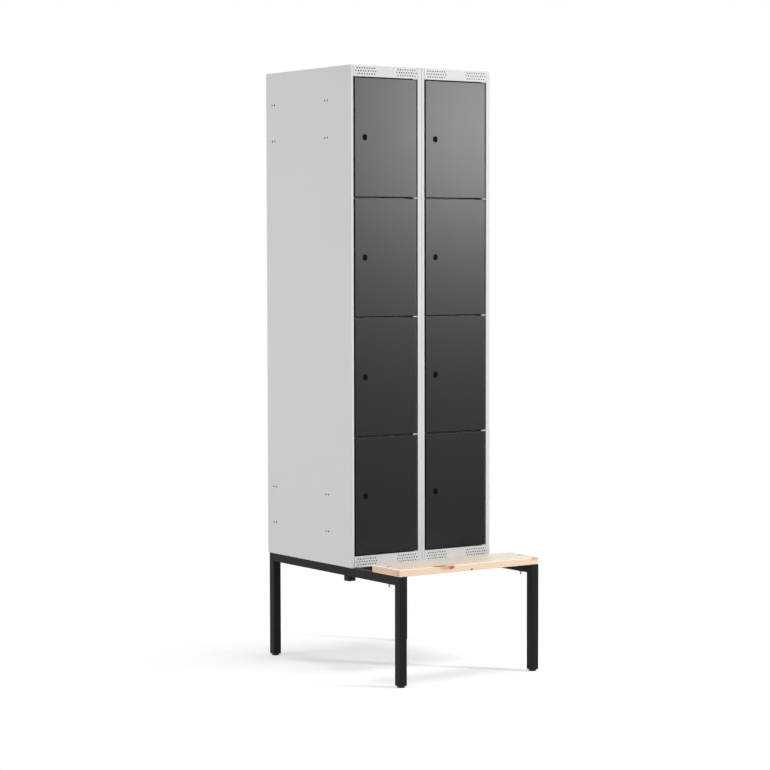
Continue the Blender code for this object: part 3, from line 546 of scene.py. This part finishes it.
def pine_wood():
    """Pine under a thin lacquer: growth rings about a low pith, fibres, knots and darker end grain, with a
    painted sheen on the top and a painted highlight on the rounded end edges.
    """
    material, tree, shader = new_material("pine_wood")
    coordinates = tree.nodes.new("ShaderNodeTexCoord")
    place = coordinates.outputs["Object"]
    parts = tree.nodes.new("ShaderNodeSeparateXYZ")
    tree.links.new(place, parts.inputs[0])
    x, y, z = parts.outputs
    facing = tree.nodes.new("ShaderNodeSeparateXYZ")
    tree.links.new(coordinates.outputs["Normal"], facing.inputs[0])
    endways = compute(tree, "ABSOLUTE", facing.outputs["X"])
    upwards = facing.outputs["Z"]
    wander, streak, fibre, broad = (stretched_noise(tree, place, *row) for row in (
        WANDER_NOISE, STREAK_NOISE, FIBRE_NOISE, BROAD_NOISE))

    radius, marks = pine_knots(tree, x, y, z, streak, pine_rings(tree, y, z, wander))
    ring = compute(tree, "FRACT", compute(tree, "DIVIDE", radius, RING_SPACING))
    late = compute(tree, "MULTIPLY", fade(tree, ring, *LATE_WOOD_RISE), fade(tree, ring, *LATE_WOOD_END))
    late = compute(tree, "MULTIPLY", late, fade(tree, broad, *LATE_WOOD_SHARE))
    wood = blend_colours(tree, late, PALE_PINE, LATE_PINE)
    wood = blend_colours(tree, fade(tree, streak, *STREAK_FADE), wood, STREAK_PINE)
    wood = blend_colours(tree, fade(tree, fibre, *FIBRE_FADE), wood, FIBRE_PINE)
    # painted sheen: upward faces are blended towards a paler, greyer colour, in place of the lacquer's
    # reflection
    wood = blend_colours(tree, fade(tree, upwards, *TOP_SHEEN_FADE), wood, TOP_SHEEN_PINE)
    for mask, colour in marks:
        wood = blend_colours(tree, mask, wood, colour)

    end_grain = fade(tree, endways, *END_GRAIN_FADE)
    ends = blend_colours(tree, 1.0, wood, END_TINT, "MULTIPLY")
    ends = blend_colours(tree, compute(tree, "MULTIPLY", late, END_RING_SHARE), ends, END_RING)
    past_line = compute(tree, "SUBTRACT", y, plank_front() + END_LINE_SETBACK)
    beside_line = compute(tree, "ABSOLUTE", past_line)
    line = fade(tree, beside_line, END_LINE_WIDTH, END_LINE_CORE, 0.0, END_LINE_SHARE)
    ends = blend_colours(tree, line, ends, END_LINE)
    wood = blend_colours(tree, end_grain, wood, ends)
    # painted highlight: a cream band on the rounded edges between the ends and the top, in place of the
    # light they catch
    edge_highlight = compute(tree, "MULTIPLY", fade(tree, endways, *EDGE_HIGHLIGHT_FADE_ENDWAYS),
                     fade(tree, upwards, *EDGE_HIGHLIGHT_FADE_UP))
    wood = blend_colours(tree, edge_highlight, wood, EDGE_HIGHLIGHT_PINE)
    tree.links.new(wood, shader.inputs["Base Color"])

    dull = compute(tree, "MULTIPLY", fibre, PINE_FIBRE_ROUGHNESS)
    dull = compute(tree, "ADD", dull, PINE_ROUGHNESS)
    dull = compute(tree, "ADD", dull, compute(tree, "MULTIPLY", end_grain, PINE_END_ROUGHNESS))
    tree.links.new(dull, shader.inputs["Roughness"])
    relief = compute(tree, "ADD", compute(tree, "MULTIPLY", fibre, PINE_FIBRE_RELIEF),
                     compute(tree, "MULTIPLY", late, PINE_RING_RELIEF))
    bump = add_node(tree, "ShaderNodeBump", **PINE_BUMP)
    tree.links.new(relief, bump.inputs["Height"])
    tree.links.new(bump.outputs["Normal"], shader.inputs["Normal"])
    shader.inputs["Specular IOR Level"].default_value = PINE_GLOSS
    return material


def begin(name):
    """Opens a new, empty piece for modelling, with its origin at the scene's."""
    bpy.ops.object.select_all(action="DESELECT")
    bpy.ops.object.add(type="MESH", location=(0, 0, 0))
    piece = bpy.context.active_object
    piece.name = piece.data.name = name
    bpy.ops.object.mode_set(mode="EDIT")
    return piece


def close(piece):
    """Ends the modelling of a piece's shape."""
    bpy.ops.object.mode_set(mode="OBJECT")
    return piece


def pick(piece, kind, test):
    """Selects the faces, edges or points that pass the test, and nothing else."""
    bpy.ops.mesh.select_mode(type=kind)
    bpy.ops.mesh.select_all(action="DESELECT")
    shape = bmesh.from_edit_mesh(piece.data)
    shape.normal_update()
    parts = {"VERT": shape.verts, "EDGE": shape.edges, "FACE": shape.faces}[kind]
    for part in parts:
        if test(part):
            part.select_set(True)
    shape.select_flush_mode()
    bmesh.update_edit_mesh(piece.data)


def is_corner(edge):
    """Whether two faces meet at the edge and stand out at an angle."""
    return edge.is_manifold and edge.is_convex and edge.calc_face_angle() > SHARP_ANGLE


def span_along(edge, axis):
    """How far an edge reaches along x, y or z."""
    first, second = edge.verts
    return abs(getattr(first.co, axis) - getattr(second.co, axis))


def add_block(low, high):
    """A block from its lowest to its highest corner, in the piece that is open."""
    low, high = Vector(low), Vector(high)
    bpy.ops.mesh.primitive_cube_add(size=1, location=(low + high) / 2, scale=high - low)


def add_rod(middle, axis, radius, length, sides):
    """A round rod along an axis, in the piece that is open."""
    bpy.ops.mesh.primitive_cylinder_add(vertices=sides, radius=radius, depth=length, location=middle,
                                        rotation=TURNED_TO[axis])


def draw_out(centre, axis, sides, profile):
    """A closed body drawn out along an axis, ring by ring, from pairs of a radius and a place on it."""
    centre, direction = Vector(centre), DIRECTIONS[axis]
    radius, place = profile[0]
    bpy.ops.mesh.primitive_circle_add(vertices=sides, radius=radius, fill_type="NGON",
                                      location=centre + direction * place, rotation=TURNED_TO[axis])
    for (last_radius, last_place), (radius, place) in zip(profile, profile[1:]):
        step = direction * (place - last_place)
        bpy.ops.mesh.extrude_region_move(TRANSFORM_OT_translate={"value": step})
        bpy.ops.transform.resize(value=[radius / last_radius] * 3,
                                 center_override=centre + direction * place)
    bpy.ops.mesh.select_linked()
    bpy.ops.mesh.normals_make_consistent(inside=False)


def hexagon(centre, axis, radius, start, end):
    """A hexagon nut or head with its corners taken off at both faces."""
    draw_out(centre, axis, HEX_SIDES, [
        (radius - NUT_CHAMFER, start),
        (radius, start + NUT_CHAMFER),
        (radius, end - NUT_CHAMFER),
        (radius - NUT_CHAMFER, end),
    ])


def add_modifier(piece, kind, **values):
    """Adds a modifier with those settings to a piece and applies it."""
    bpy.context.view_layer.objects.active = piece
    modifier = piece.modifiers.new(kind.title(), kind)
    for name, value in values.items():
        setattr(modifier, name, value)
    bpy.ops.object.modifier_apply(modifier=modifier.name)


def over(node, height):
    """The point at a height on the upright line through the middle of a node."""
    low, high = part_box(node)
    return Vector(((low.x + high.x) / 2, (low.y + high.y) / 2, height))


def combine(piece, tool, operation):
    """Cuts a tool out of a piece, or welds it on, and clears the tool away."""
    add_modifier(piece, "BOOLEAN", object=tool, operation=operation, solver="EXACT")
    bpy.data.objects.remove(tool, do_unlink=True)


def polish(piece):
    """Shades a piece's bends smooth and keeps its flats flat."""
    bpy.ops.object.select_all(action="DESELECT")
    piece.select_set(True)
    bpy.context.view_layer.objects.active = piece
    bpy.ops.object.shade_smooth_by_angle(angle=SMOOTH_ANGLE)
    add_modifier(piece, "WEIGHTED_NORMAL", keep_sharp=True)
    return piece


def dress(piece, slot, body, *nodes):
    """Gives a finished piece its finish and its body, and lets it stand for its nodes."""
    piece.data.materials.clear()
    piece.data.materials.append(MATERIALS[slot])
    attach(piece, body)
    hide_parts(*nodes)


def copy_to(piece, name, first_node, node):
    """A copy with its own mesh, as far from the piece as the second node is from the first."""
    twin = piece.copy()
    twin.data = piece.data.copy()
    twin.name = twin.data.name = name
    bpy.context.collection.objects.link(twin)
    twin.data.transform(Matrix.Translation(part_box(node)[0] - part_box(first_node)[0]))
    return twin


def fold_sheet(name, path, span):
    """Sheet steel folded along a path and drawn over a span, with its thickness to the path's right."""
    piece = begin(name)
    start, first_fold = path[0], path[1]
    along = first_fold - start
    normal = along.cross(span).normalized()
    facing = Matrix((along.normalized(), span.normalized(), normal)).transposed()
    middle = (start + first_fold + span) / 2
    extent = [abs(length) + abs(width) or 1 for length, width in zip(along, span)]
    bpy.ops.mesh.primitive_plane_add(size=1, location=middle, rotation=facing.to_euler())
    bpy.ops.transform.resize(value=extent, center_override=middle)
    pick(piece, "EDGE", lambda edge: all(
        abs((point.co - first_fold).dot(along.normalized())) < NEAR for point in edge.verts))
    for here, there in zip(path[1:], path[2:]):
        bpy.ops.mesh.extrude_region_move(TRANSFORM_OT_translate={"value": there - here})
    for outward, radius in ((False, FOLD_RADIUS), (True, FOLD_RADIUS - SHEET)):
        pick(piece, "EDGE", lambda edge: edge.is_manifold and edge.is_convex == outward
             and edge.calc_face_angle() > SHARP_ANGLE)
        bpy.ops.mesh.bevel(offset=radius, segments=FOLD_SEGMENTS, affect="EDGES")
    close(piece)
    add_modifier(piece, "SOLIDIFY", thickness=SHEET, offset=1, use_even_offset=True)
    return piece


def module_corner(side):
    """The front, left and lowest corner of a module."""
    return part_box(f"{side}_left_side")[0] - Vector((SEAM / 2, 0, 0))


def join_hole_rods(corner, x, height):
    """The rods that drill the pairs of joining holes through a side panel."""
    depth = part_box("left_left_side")[1].y - corner.y
    for setback in (JOIN_HOLE_FROM_FRONT, depth - JOIN_HOLE_FROM_BACK):
        for offset in (-JOIN_HOLE_SPACING / 2, JOIN_HOLE_SPACING / 2):
            for rise in JOIN_HOLE_RISES + tuple(height - rise for rise in JOIN_HOLE_RISES):
                middle = corner + Vector((x, setback + offset, rise))
                add_rod(middle, "X", JOIN_HOLE_RADIUS, DRILL_LENGTH, HOLE_SIDES)


def model_left_panel():
    """A module's left side: stile, return and door stop in front, side sheet, and rear flange."""
    corner = module_corner("left")
    low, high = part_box("left_left_side")
    depth, height = high.y - low.y, high.z - low.z
    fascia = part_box("left_bottom_fascia")[1].z - low.z + SEAM
    plan = [(STOP_EDGE, STILE_DEPTH - SHEET), (LEFT_STILE, STILE_DEPTH - SHEET), (LEFT_STILE, 0),
            (SEAM / 2, 0), (SEAM / 2, depth), (REAR_FLANGE, depth)]
    path = [corner + Vector((x, y, 0)) for x, y in plan]
    panel = fold_sheet("left_module_left_panel", path, Vector((0, 0, height)))
    holes = begin("left_panel_holes")
    join_hole_rods(corner, SEAM / 2, height)
    for start, end in ((-OVERRUN, fascia), (height - fascia, height + OVERRUN)):
        add_block(corner + Vector((LEFT_STILE, STILE_DEPTH - SHEET - OVERRUN, start)),
                  corner + Vector((STOP_EDGE + OVERRUN, STILE_DEPTH + OVERRUN, end)))
    combine(panel, close(holes), "DIFFERENCE")
    return polish(panel)


def tab_middles():
    """The middle heights of a module's hinge tabs, from the lowest to the highest."""
    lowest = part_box("left_bottom_fascia")[1].z + TAB_GAP + TAB_THICKNESS / 2
    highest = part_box("left_top_fascia")[0].z - TAB_GAP - TAB_THICKNESS / 2
    gaps = [(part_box(f"left_door_{door}")[0].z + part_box(f"left_door_{door + 1}")[1].z) / 2
            for door in range(DOORS - 1, 0, -1)]
    return [lowest] + gaps + [highest]


def model_right_panel():
    """A module's right side, with a rounded tab and its pin welded on at every gap of the doors."""
    corner = module_corner("left")
    low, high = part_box("left_right_side")
    depth, height = high.y - low.y, high.z - low.z
    outer, stile = MODULE_WIDTH - SEAM / 2, MODULE_WIDTH - RIGHT_STILE
    plan = [(MODULE_WIDTH - REAR_FLANGE, depth), (outer, depth), (outer, 0), (stile, 0),
            (stile, STILE_DEPTH)]
    path = [corner + Vector((x, y, 0)) for x, y in plan]
    panel = fold_sheet("left_module_right_panel", path, Vector((0, 0, height)))
    holes = begin("right_panel_holes")
    join_hole_rods(corner, outer, height)
    combine(panel, close(holes), "DIFFERENCE")

    pivot = Vector((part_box("left_door_1")[1].x - PIVOT_INSET, corner.y + PIVOT_SETBACK, 0))
    middles = tab_middles()
    ends = (middles[0], middles[-1])
    for middle in middles:
        half = (TAB_THICKNESS if middle in ends else GAP_TAB_THICKNESS) / 2
        tab = begin("hinge_tab")
        add_block((pivot.x - TAB_PAST_PIVOT, corner.y + TAB_SETBACK, middle - half),
                  (corner.x + stile + SHEET / 2, corner.y + TAB_SETBACK + TAB_DEPTH, middle + half))
        pick(tab, "EDGE", lambda edge: is_corner(edge) and span_along(edge, "z") > NEAR
             and all(point.co.x < pivot.x for point in edge.verts))
        bpy.ops.mesh.bevel(offset=TAB_CORNER, segments=FOLD_SEGMENTS, affect="EDGES")
        combine(panel, close(tab), "UNION")
        start = 0 if middle == middles[0] else -TAB_THICKNESS / 2 - PIN_REACH
        end = 0 if middle == middles[-1] else TAB_THICKNESS / 2 + PIN_REACH
        pin = begin("hinge_pin")
        draw_out(pivot + Vector((0, 0, middle)), "Z", PIN_SIDES, [
            (PIN_RADIUS - PIN_CHAMFER, start),
            (PIN_RADIUS, start + PIN_CHAMFER),
            (PIN_RADIUS, end - PIN_CHAMFER),
            (PIN_RADIUS - PIN_CHAMFER, end),
        ])
        combine(panel, close(pin), "UNION")
    return polish(panel)


def model_fascia(side, level):
    """A perforated fascia: a channel that is open at the back, with two groups of vent holes."""
    low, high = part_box(f"{side}_{level}_fascia")
    profile = [(high.y, low.z), (low.y, low.z), (low.y, high.z), (high.y, high.z)]
    path = [Vector((low.x, y, z)) for y, z in profile]
    fascia = fold_sheet(f"{side}_{level}_vent_panel", path, Vector((high.x - low.x, 0, 0)))
    left = module_corner(side).x
    group_setback = RIGHT_STILE + VENT_MARGIN + (max(VENT_ROWS) - 1) * VENT_PITCH / 2
    holes = begin("vent_holes")
    for group_x in (left + group_setback, left + MODULE_WIDTH - group_setback):
        for row, count in enumerate(VENT_ROWS):
            height = (low.z + high.z) / 2 + ((len(VENT_ROWS) - 1) / 2 - row) * VENT_ROW_PITCH
            for hole in range(count):
                x = group_x + (hole - (count - 1) / 2) * VENT_PITCH
                add_rod((x, low.y, height), "Y", VENT_RADIUS, DRILL_LENGTH, VENT_SIDES)
    combine(fascia, close(holes), "DIFFERENCE")
    return polish(fascia)


def add_double_d(middle, radius, half_flats, front, rear):
    """A round bar from front to rear with a flat at its left and at its right."""
    add_rod((middle.x, (front + rear) / 2, middle.z), "Y", radius, rear - front, LOCK_SIDES)
    for side in (-1, 1):
        bpy.ops.mesh.select_linked()
        bpy.ops.mesh.bisect(plane_co=(middle.x + side * half_flats, 0, 0), plane_no=(side, 0, 0),
                            use_fill=True, clear_outer=True)


def model_door():
    """A door: a folded tray with rounded folds and a rear lip, holed for its lock and its two pins."""
    low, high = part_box("left_door_1")
    lock_low, lock_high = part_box("left_lock_housing_1")
    door = begin("left_door_leaf_1")
    add_block(low, high)
    pick(door, "FACE", lambda face: face.normal.y > FACING)
    bpy.ops.mesh.inset(thickness=DOOR_LIP)
    bpy.ops.mesh.delete(type="FACE")
    pick(door, "EDGE", is_corner)
    bpy.ops.mesh.bevel(offset=FOLD_RADIUS, segments=FOLD_SEGMENTS, affect="EDGES")
    close(door)
    add_modifier(door, "SOLIDIFY", thickness=SHEET, offset=-1, use_even_offset=True)
    holes = begin("door_holes")
    add_double_d((lock_low + lock_high) / 2, LOCK_RADIUS + LOCK_CLEARANCE,
                 LOCK_HALF_FLATS + LOCK_CLEARANCE, low.y - OVERRUN, low.y + SHEET + OVERRUN)
    add_rod((high.x - PIVOT_INSET, low.y + PIVOT_SETBACK, (low.z + high.z) / 2), "Z", PIN_BORE,
            high.z - low.z + 2 * OVERRUN, PIN_SIDES)
    combine(door, close(holes), "DIFFERENCE")
    return polish(door)


def model_lock_barrel():
    """A lock's barrel, flush in its double-D hole, with its hexagon nut behind the door's sheet."""
    low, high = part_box("left_lock_housing_1")
    middle = (low + high) / 2
    door_front = low.y - LOCK_RECESS
    barrel = begin("left_lock_barrel_1")
    add_double_d(middle, LOCK_RADIUS, LOCK_HALF_FLATS, low.y, high.y)
    pick(barrel, "EDGE", lambda edge: span_along(edge, "y") < NEAR)
    bpy.ops.mesh.bevel(offset=LOCK_RIM, segments=RIM_SEGMENTS, affect="EDGES")
    close(barrel)
    axis = Vector((middle.x, door_front, middle.z))
    nut = begin("lock_nut")
    hexagon(axis, "Y", LOCK_NUT_RADIUS, LOCK_NUT_FRONT, LOCK_NUT_FRONT + LOCK_NUT_DEPTH)
    combine(barrel, close(nut), "UNION")
    bore = begin("plug_bore")
    rear = high.y - door_front
    draw_out(axis, "Y", LOCK_SIDES, [
        (PLUG_NOSE_RADIUS + LOCK_CLEARANCE, -OVERRUN),
        (PLUG_NOSE_RADIUS + LOCK_CLEARANCE, PLUG_SHOULDER - LOCK_CLEARANCE),
        (PLUG_RADIUS + LOCK_CLEARANCE, PLUG_SHOULDER - LOCK_CLEARANCE),
        (PLUG_RADIUS + LOCK_CLEARANCE, rear + OVERRUN),
    ])
    combine(barrel, close(bore), "DIFFERENCE")
    return polish(barrel)


def lock_axis():
    """Where the first lock's axis meets the door's front, and the place of its cam's front behind it."""
    low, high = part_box("left_lock_cam_1")
    door_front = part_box("left_door_1")[0].y
    axis = Vector((low.x + CAM_HALF_WIDTH, door_front, high.z - CAM_HALF_WIDTH))
    return axis, high.y - CAM_NUT_DEPTH - CAM_THICKNESS - door_front


def model_lock_plug():
    """A lock's turning plug, with its stepped nose and its key slot."""
    axis, cam_front = lock_axis()
    plug = begin("left_lock_plug_1")
    draw_out(axis, "Y", LOCK_SIDES, [
        (PLUG_NOSE_RADIUS - LOCK_RIM / 2, PLUG_FRONT),
        (PLUG_NOSE_RADIUS, PLUG_FRONT + LOCK_RIM / 2),
        (PLUG_NOSE_RADIUS, PLUG_SHOULDER),
        (PLUG_RADIUS, PLUG_SHOULDER),
        (PLUG_RADIUS, cam_front),
    ])
    close(plug)
    slot = begin("key_slot")
    add_block(axis + Vector((-KEY_SLOT_WIDTH / 2, PLUG_FRONT - OVERRUN, -KEY_SLOT_HEIGHT / 2)),
              axis + Vector((KEY_SLOT_WIDTH / 2, PLUG_FRONT + KEY_SLOT_DEPTH, KEY_SLOT_HEIGHT / 2)))
    combine(plug, close(slot), "DIFFERENCE")
    return polish(plug)


def model_cam_plate():
    """A lock's cam: a zinc-plated tongue with round ends, held to the plug by a hexagon nut."""
    axis, cam_front = lock_axis()
    low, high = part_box("left_lock_cam_1")
    plate = begin("left_lock_cam_plate_1")
    add_block((low.x, axis.y + cam_front, low.z),
              (high.x, axis.y + cam_front + CAM_THICKNESS, high.z))
    pick(plate, "EDGE", lambda edge: span_along(edge, "y") > NEAR)
    bpy.ops.mesh.bevel(offset=CAM_HALF_WIDTH - NEAR, segments=CAM_END_SEGMENTS, affect="EDGES")
    pick(plate, "EDGE", lambda edge: edge.calc_face_angle() > SQUARE_ANGLE)
    bpy.ops.mesh.bevel(offset=CAM_EDGE, segments=RIM_SEGMENTS, affect="EDGES")
    close(plate)
    nut = begin("cam_nut")
    hexagon(axis, "Y", CAM_NUT_RADIUS, cam_front + CAM_THICKNESS / 2,
            cam_front + CAM_THICKNESS + CAM_NUT_DEPTH)
    combine(plate, close(nut), "UNION")
    return polish(plate)


def extrude_face(piece, test, step):
    """Draws out the faces that pass the test by a step."""
    pick(piece, "FACE", test)
    bpy.ops.mesh.extrude_region_move(TRANSFORM_OT_translate={"value": step})


def hollow_tube(piece):
    """Rounds a tube's long corners and gives it its wall."""
    pick(piece, "EDGE", is_corner)
    bpy.ops.mesh.bevel(offset=TUBE_CORNER, segments=TUBE_SEGMENTS, affect="EDGES")
    close(piece)
    add_modifier(piece, "SOLIDIFY", thickness=TUBE_WALL, offset=-1, use_even_offset=True)


def model_tube_frame():
    """A side frame welded from square tube: its rail, two legs and a stub, open at their lower ends."""
    low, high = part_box("left_side_frame")
    under = high.z - TUBE
    stub = module_corner("left").y + STUB_SETBACK
    tubes = begin("left_tube_frame")
    add_block((low.x, low.y, under), (high.x, low.y + TUBE, high.z))
    marks = [low.y + TUBE, stub, stub + TUBE, high.y - TUBE, high.y]
    for here, there in zip(marks, marks[1:]):
        extrude_face(tubes, lambda face: face.normal.y > FACING, (0, there - here, 0))
    leg = under - low.z
    for middle, drop in ((low.y + TUBE / 2, leg), (stub + TUBE / 2, STUB_DROP), (high.y - TUBE / 2, leg)):
        extrude_face(tubes, lambda face: face.normal.z < -FACING
                     and abs(face.calc_center_median().y - middle) < NEAR, (0, 0, -drop))
        bpy.ops.mesh.delete(type="FACE")
    hollow_tube(tubes)
    hole = begin("bench_bolt_hole")
    add_rod(over("left_bench_bolt", high.z - TUBE / 2), "Z", BENCH_BOLT_RADIUS + BOLT_CLEARANCE,
            TUBE + 2 * OVERRUN, HOLE_SIDES)
    combine(tubes, close(hole), "DIFFERENCE")
    return polish(tubes)


def model_cross_tube(end):
    """A cross rail: a length of square tube with a bolt hole in its top under each module."""
    low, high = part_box(f"{end}_cross_rail")
    tube = begin(f"{end}_cross_tube")
    add_block(low, high)
    pick(tube, "FACE", lambda face: abs(face.normal.x) > FACING)
    bpy.ops.mesh.delete(type="FACE")
    hollow_tube(tube)
    holes = begin("module_bolt_holes")
    for side in SIDES:
        add_rod(over(f"{side}_{end}_module_bolt", high.z), "Z", MODULE_BOLT_RADIUS + BOLT_CLEARANCE,
                2 * (TUBE_WALL + OVERRUN), HOLE_SIDES)
    combine(tube, close(holes), "DIFFERENCE")
    return polish(tube)


def quarter_turns():
    """The angles of a quarter circle, from its start to its end."""
    return [math.pi / 2 * step / QUARTER_STEPS for step in range(QUARTER_STEPS + 1)]


def model_foot():
    """A foot glide: a round foot with a rolled edge, its square flange and the plug up in the tube."""
    low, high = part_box("left_front_foot_glide")
    rim = GLIDE_RADIUS - GLIDE_EDGE
    foot = begin("left_front_foot")
    rolled = [(rim + GLIDE_EDGE * math.sin(turn), GLIDE_EDGE * (1 - math.cos(turn)))
              for turn in quarter_turns()]
    draw_out(over("left_front_foot_glide", low.z), "Z", GLIDE_SIDES,
             rolled + [(GLIDE_RADIUS, GLIDE_HEIGHT + GLIDE_FLANGE / 2)])
    close(foot)
    flange = begin("foot_flange")
    add_block((low.x, low.y, GLIDE_HEIGHT), (high.x, high.y, GLIDE_HEIGHT + GLIDE_FLANGE))
    pick(flange, "EDGE", lambda edge: span_along(edge, "z") > NEAR)
    bpy.ops.mesh.bevel(offset=TUBE_CORNER, segments=TUBE_SEGMENTS, affect="EDGES")
    combine(foot, close(flange), "UNION")
    plug = begin("foot_plug")
    inset = Vector((GLIDE_PLUG_INSET, GLIDE_PLUG_INSET, 0))
    add_block(Vector((low.x, low.y, GLIDE_HEIGHT + GLIDE_FLANGE / 2)) + inset, high - inset)
    pick(plug, "EDGE", lambda edge: max(point.co.z for point in edge.verts) > high.z - NEAR)
    bpy.ops.mesh.bevel(offset=GLIDE_PLUG_CORNER, segments=RIM_SEGMENTS, affect="EDGES")
    combine(foot, close(plug), "UNION")
    return polish(foot)


def model_plank():
    """The bench plank, with its edges rounded over and a bolt hole near each end."""
    low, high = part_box("bench_plank")
    plank = begin("pine_plank")
    add_block(low, high)
    pick(plank, "EDGE", is_corner)
    bpy.ops.mesh.bevel(offset=PLANK_EDGE, segments=PLANK_EDGE_SEGMENTS, affect="EDGES")
    close(plank)
    holes = begin("plank_holes")
    for side in SIDES:
        add_rod(over(f"{side}_bench_bolt", (low.z + high.z) / 2), "Z", BENCH_BOLT_RADIUS + BOLT_CLEARANCE,
                high.z - low.z + 2 * OVERRUN, HOLE_SIDES)
    combine(plank, close(holes), "DIFFERENCE")
    return polish(plank)


def model_bench_bolt():
    """A bench bolt: a domed head, a shank with a threaded end and its nut under the rail."""
    low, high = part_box("left_bench_bolt")
    centre = over("left_bench_bolt", 0)
    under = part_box("left_side_frame")[1].z - TUBE
    seat = high.z - BENCH_HEAD_HEIGHT
    profile = [(BENCH_BOLT_RADIUS - BOLT_TIP, low.z), (BENCH_BOLT_RADIUS, low.z + BOLT_TIP)]
    turns = int((under - low.z - 2 * BOLT_TIP) / THREAD_PITCH)
    for turn in range(turns):
        height = low.z + BOLT_TIP + turn * THREAD_PITCH
        profile.append((BENCH_BOLT_RADIUS - THREAD_DEPTH, height + THREAD_PITCH / 2))
        profile.append((BENCH_BOLT_RADIUS, height + THREAD_PITCH))
    profile += [(BENCH_BOLT_RADIUS, seat), (BENCH_HEAD_RADIUS, seat)]
    profile += [(BENCH_HEAD_RADIUS * math.cos(turn), seat + BENCH_HEAD_HEIGHT * math.sin(turn))
                for turn in quarter_turns()[1:-1]]
    profile.append((DOME_TOP, high.z))
    bolt = begin("left_bench_screw")
    draw_out(centre, "Z", BOLT_SIDES, profile)
    close(bolt)
    nut = begin("bench_nut")
    hexagon(centre, "Z", BENCH_NUT_RADIUS, under - SEAM - BENCH_NUT_HEIGHT, under - SEAM)
    combine(bolt, close(nut), "UNION")
    return polish(bolt)


def model_module_bolt():
    """A bolt that holds a module down: a chamfered hexagon head and a shank into the cross rail."""
    low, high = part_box("left_front_module_bolt")
    centre = over("left_front_module_bolt", 0)
    seat = high.z - MODULE_HEAD_HEIGHT
    bolt = begin("left_front_module_screw")
    draw_out(centre, "Z", BOLT_SIDES, [
        (MODULE_BOLT_RADIUS - BOLT_TIP, low.z),
        (MODULE_BOLT_RADIUS, low.z + BOLT_TIP),
        (MODULE_BOLT_RADIUS, seat + MODULE_HEAD_HEIGHT / 2),
    ])
    close(bolt)
    head = begin("module_bolt_head")
    hexagon(centre, "Z", MODULE_HEAD_RADIUS, seat, high.z)
    combine(bolt, close(head), "UNION")
    return polish(bolt)


def dress_modules():
    """Puts the panels and fascias on both modules."""
    for kind, model in (("left", model_left_panel), ("right", model_right_panel)):
        first = model()
        second = copy_to(first, f"right_module_{kind}_panel", f"left_{kind}_side", f"right_{kind}_side")
        dress(first, "light_grey_paint", "carcass", f"left_{kind}_side")
        dress(second, "light_grey_paint", "carcass", f"right_{kind}_side")
    fascia = model_fascia("left", "top")
    for side in SIDES:
        for level in ("top", "bottom"):
            node = f"{side}_{level}_fascia"
            piece = fascia if node == "left_top_fascia" else copy_to(
                fascia, f"{side}_{level}_vent_panel", "left_top_fascia", node)
            dress(piece, "light_grey_paint", "carcass", node)


def dress_doors():
    """Hangs the eight doors and puts their locks in."""
    kinds = (
        (model_door(), "door_leaf", "door", "black_door_paint", "door_body"),
        (model_lock_barrel(), "lock_barrel", "lock_housing", "black_lock", "door_body"),
        (model_lock_plug(), "lock_plug", "lock_cam", "black_lock", "cam_body"),
        (model_cam_plate(), "lock_cam_plate", "lock_cam", "zinc_steel", "cam_body"),
    )
    for first, piece_name, node_name, slot, body in kinds:
        for side in SIDES:
            for number in range(1, DOORS + 1):
                node = f"{side}_{node_name}_{number}"
                name = f"{side}_{piece_name}_{number}"
                piece = first if name == first.name else copy_to(
                    first, name, f"left_{node_name}_1", node)
                dress(piece, slot, f"{side}_{body}_{number}", node)


def dress_frame():
    """Puts the tubes, the feet, the plank and the bolts in place."""
    tubes, foot = model_tube_frame(), model_foot()
    bench_bolt, module_bolt = model_bench_bolt(), model_module_bolt()
    for side in SIDES:
        rows = [(tubes, f"{side}_tube_frame", "left_side_frame", f"{side}_side_frame", "black_tube_paint"),
                (bench_bolt, f"{side}_bench_screw", "left_bench_bolt", f"{side}_bench_bolt", "zinc_steel")]
        for end in ENDS:
            rows.append((foot, f"{side}_{end}_foot", "left_front_foot_glide", f"{side}_{end}_foot_glide",
                         "black_plastic"))
            rows.append((module_bolt, f"{side}_{end}_module_screw", "left_front_module_bolt",
                         f"{side}_{end}_module_bolt", "zinc_steel"))
        for first, name, first_node, node, slot in rows:
            piece = first if name == first.name else copy_to(first, name, first_node, node)
            dress(piece, slot, "carcass", node)
    for end in ENDS:
        dress(model_cross_tube(end), "black_tube_paint", "carcass", f"{end}_cross_rail")
    dress(model_plank(), "pine", "carcass", "bench_plank")


bpy.context.scene.view_settings.view_transform = "Standard"
add_camera()
add_lamp("key_lamp", KEY_PLACE, KEY_TARGET, KEY_WIDTH, KEY_HEIGHT, KEY_POWER)
add_lamp("side_lamp", SIDE_PLACE, SIDE_TARGET, SIDE_SIZE, SIDE_SIZE, SIDE_POWER)
add_lamp("top_lamp", TOP_PLACE, TOP_TARGET, TOP_WIDTH, TOP_LENGTH, TOP_POWER)
light_world()
add_floor()

unevenness = surface_group()
MATERIALS = {slot: finish(unevenness, *row) for slot, row in FINISHES.items()}
MATERIALS["pine"] = pine_wood()
for row in frame["record"]["subparts"]:
    node = frame["nodes"][row["node"]]
    node.data.materials.clear()
    node.data.materials.append(MATERIALS[row["material_slot"]])

dress_modules()
dress_doors()
dress_frame()
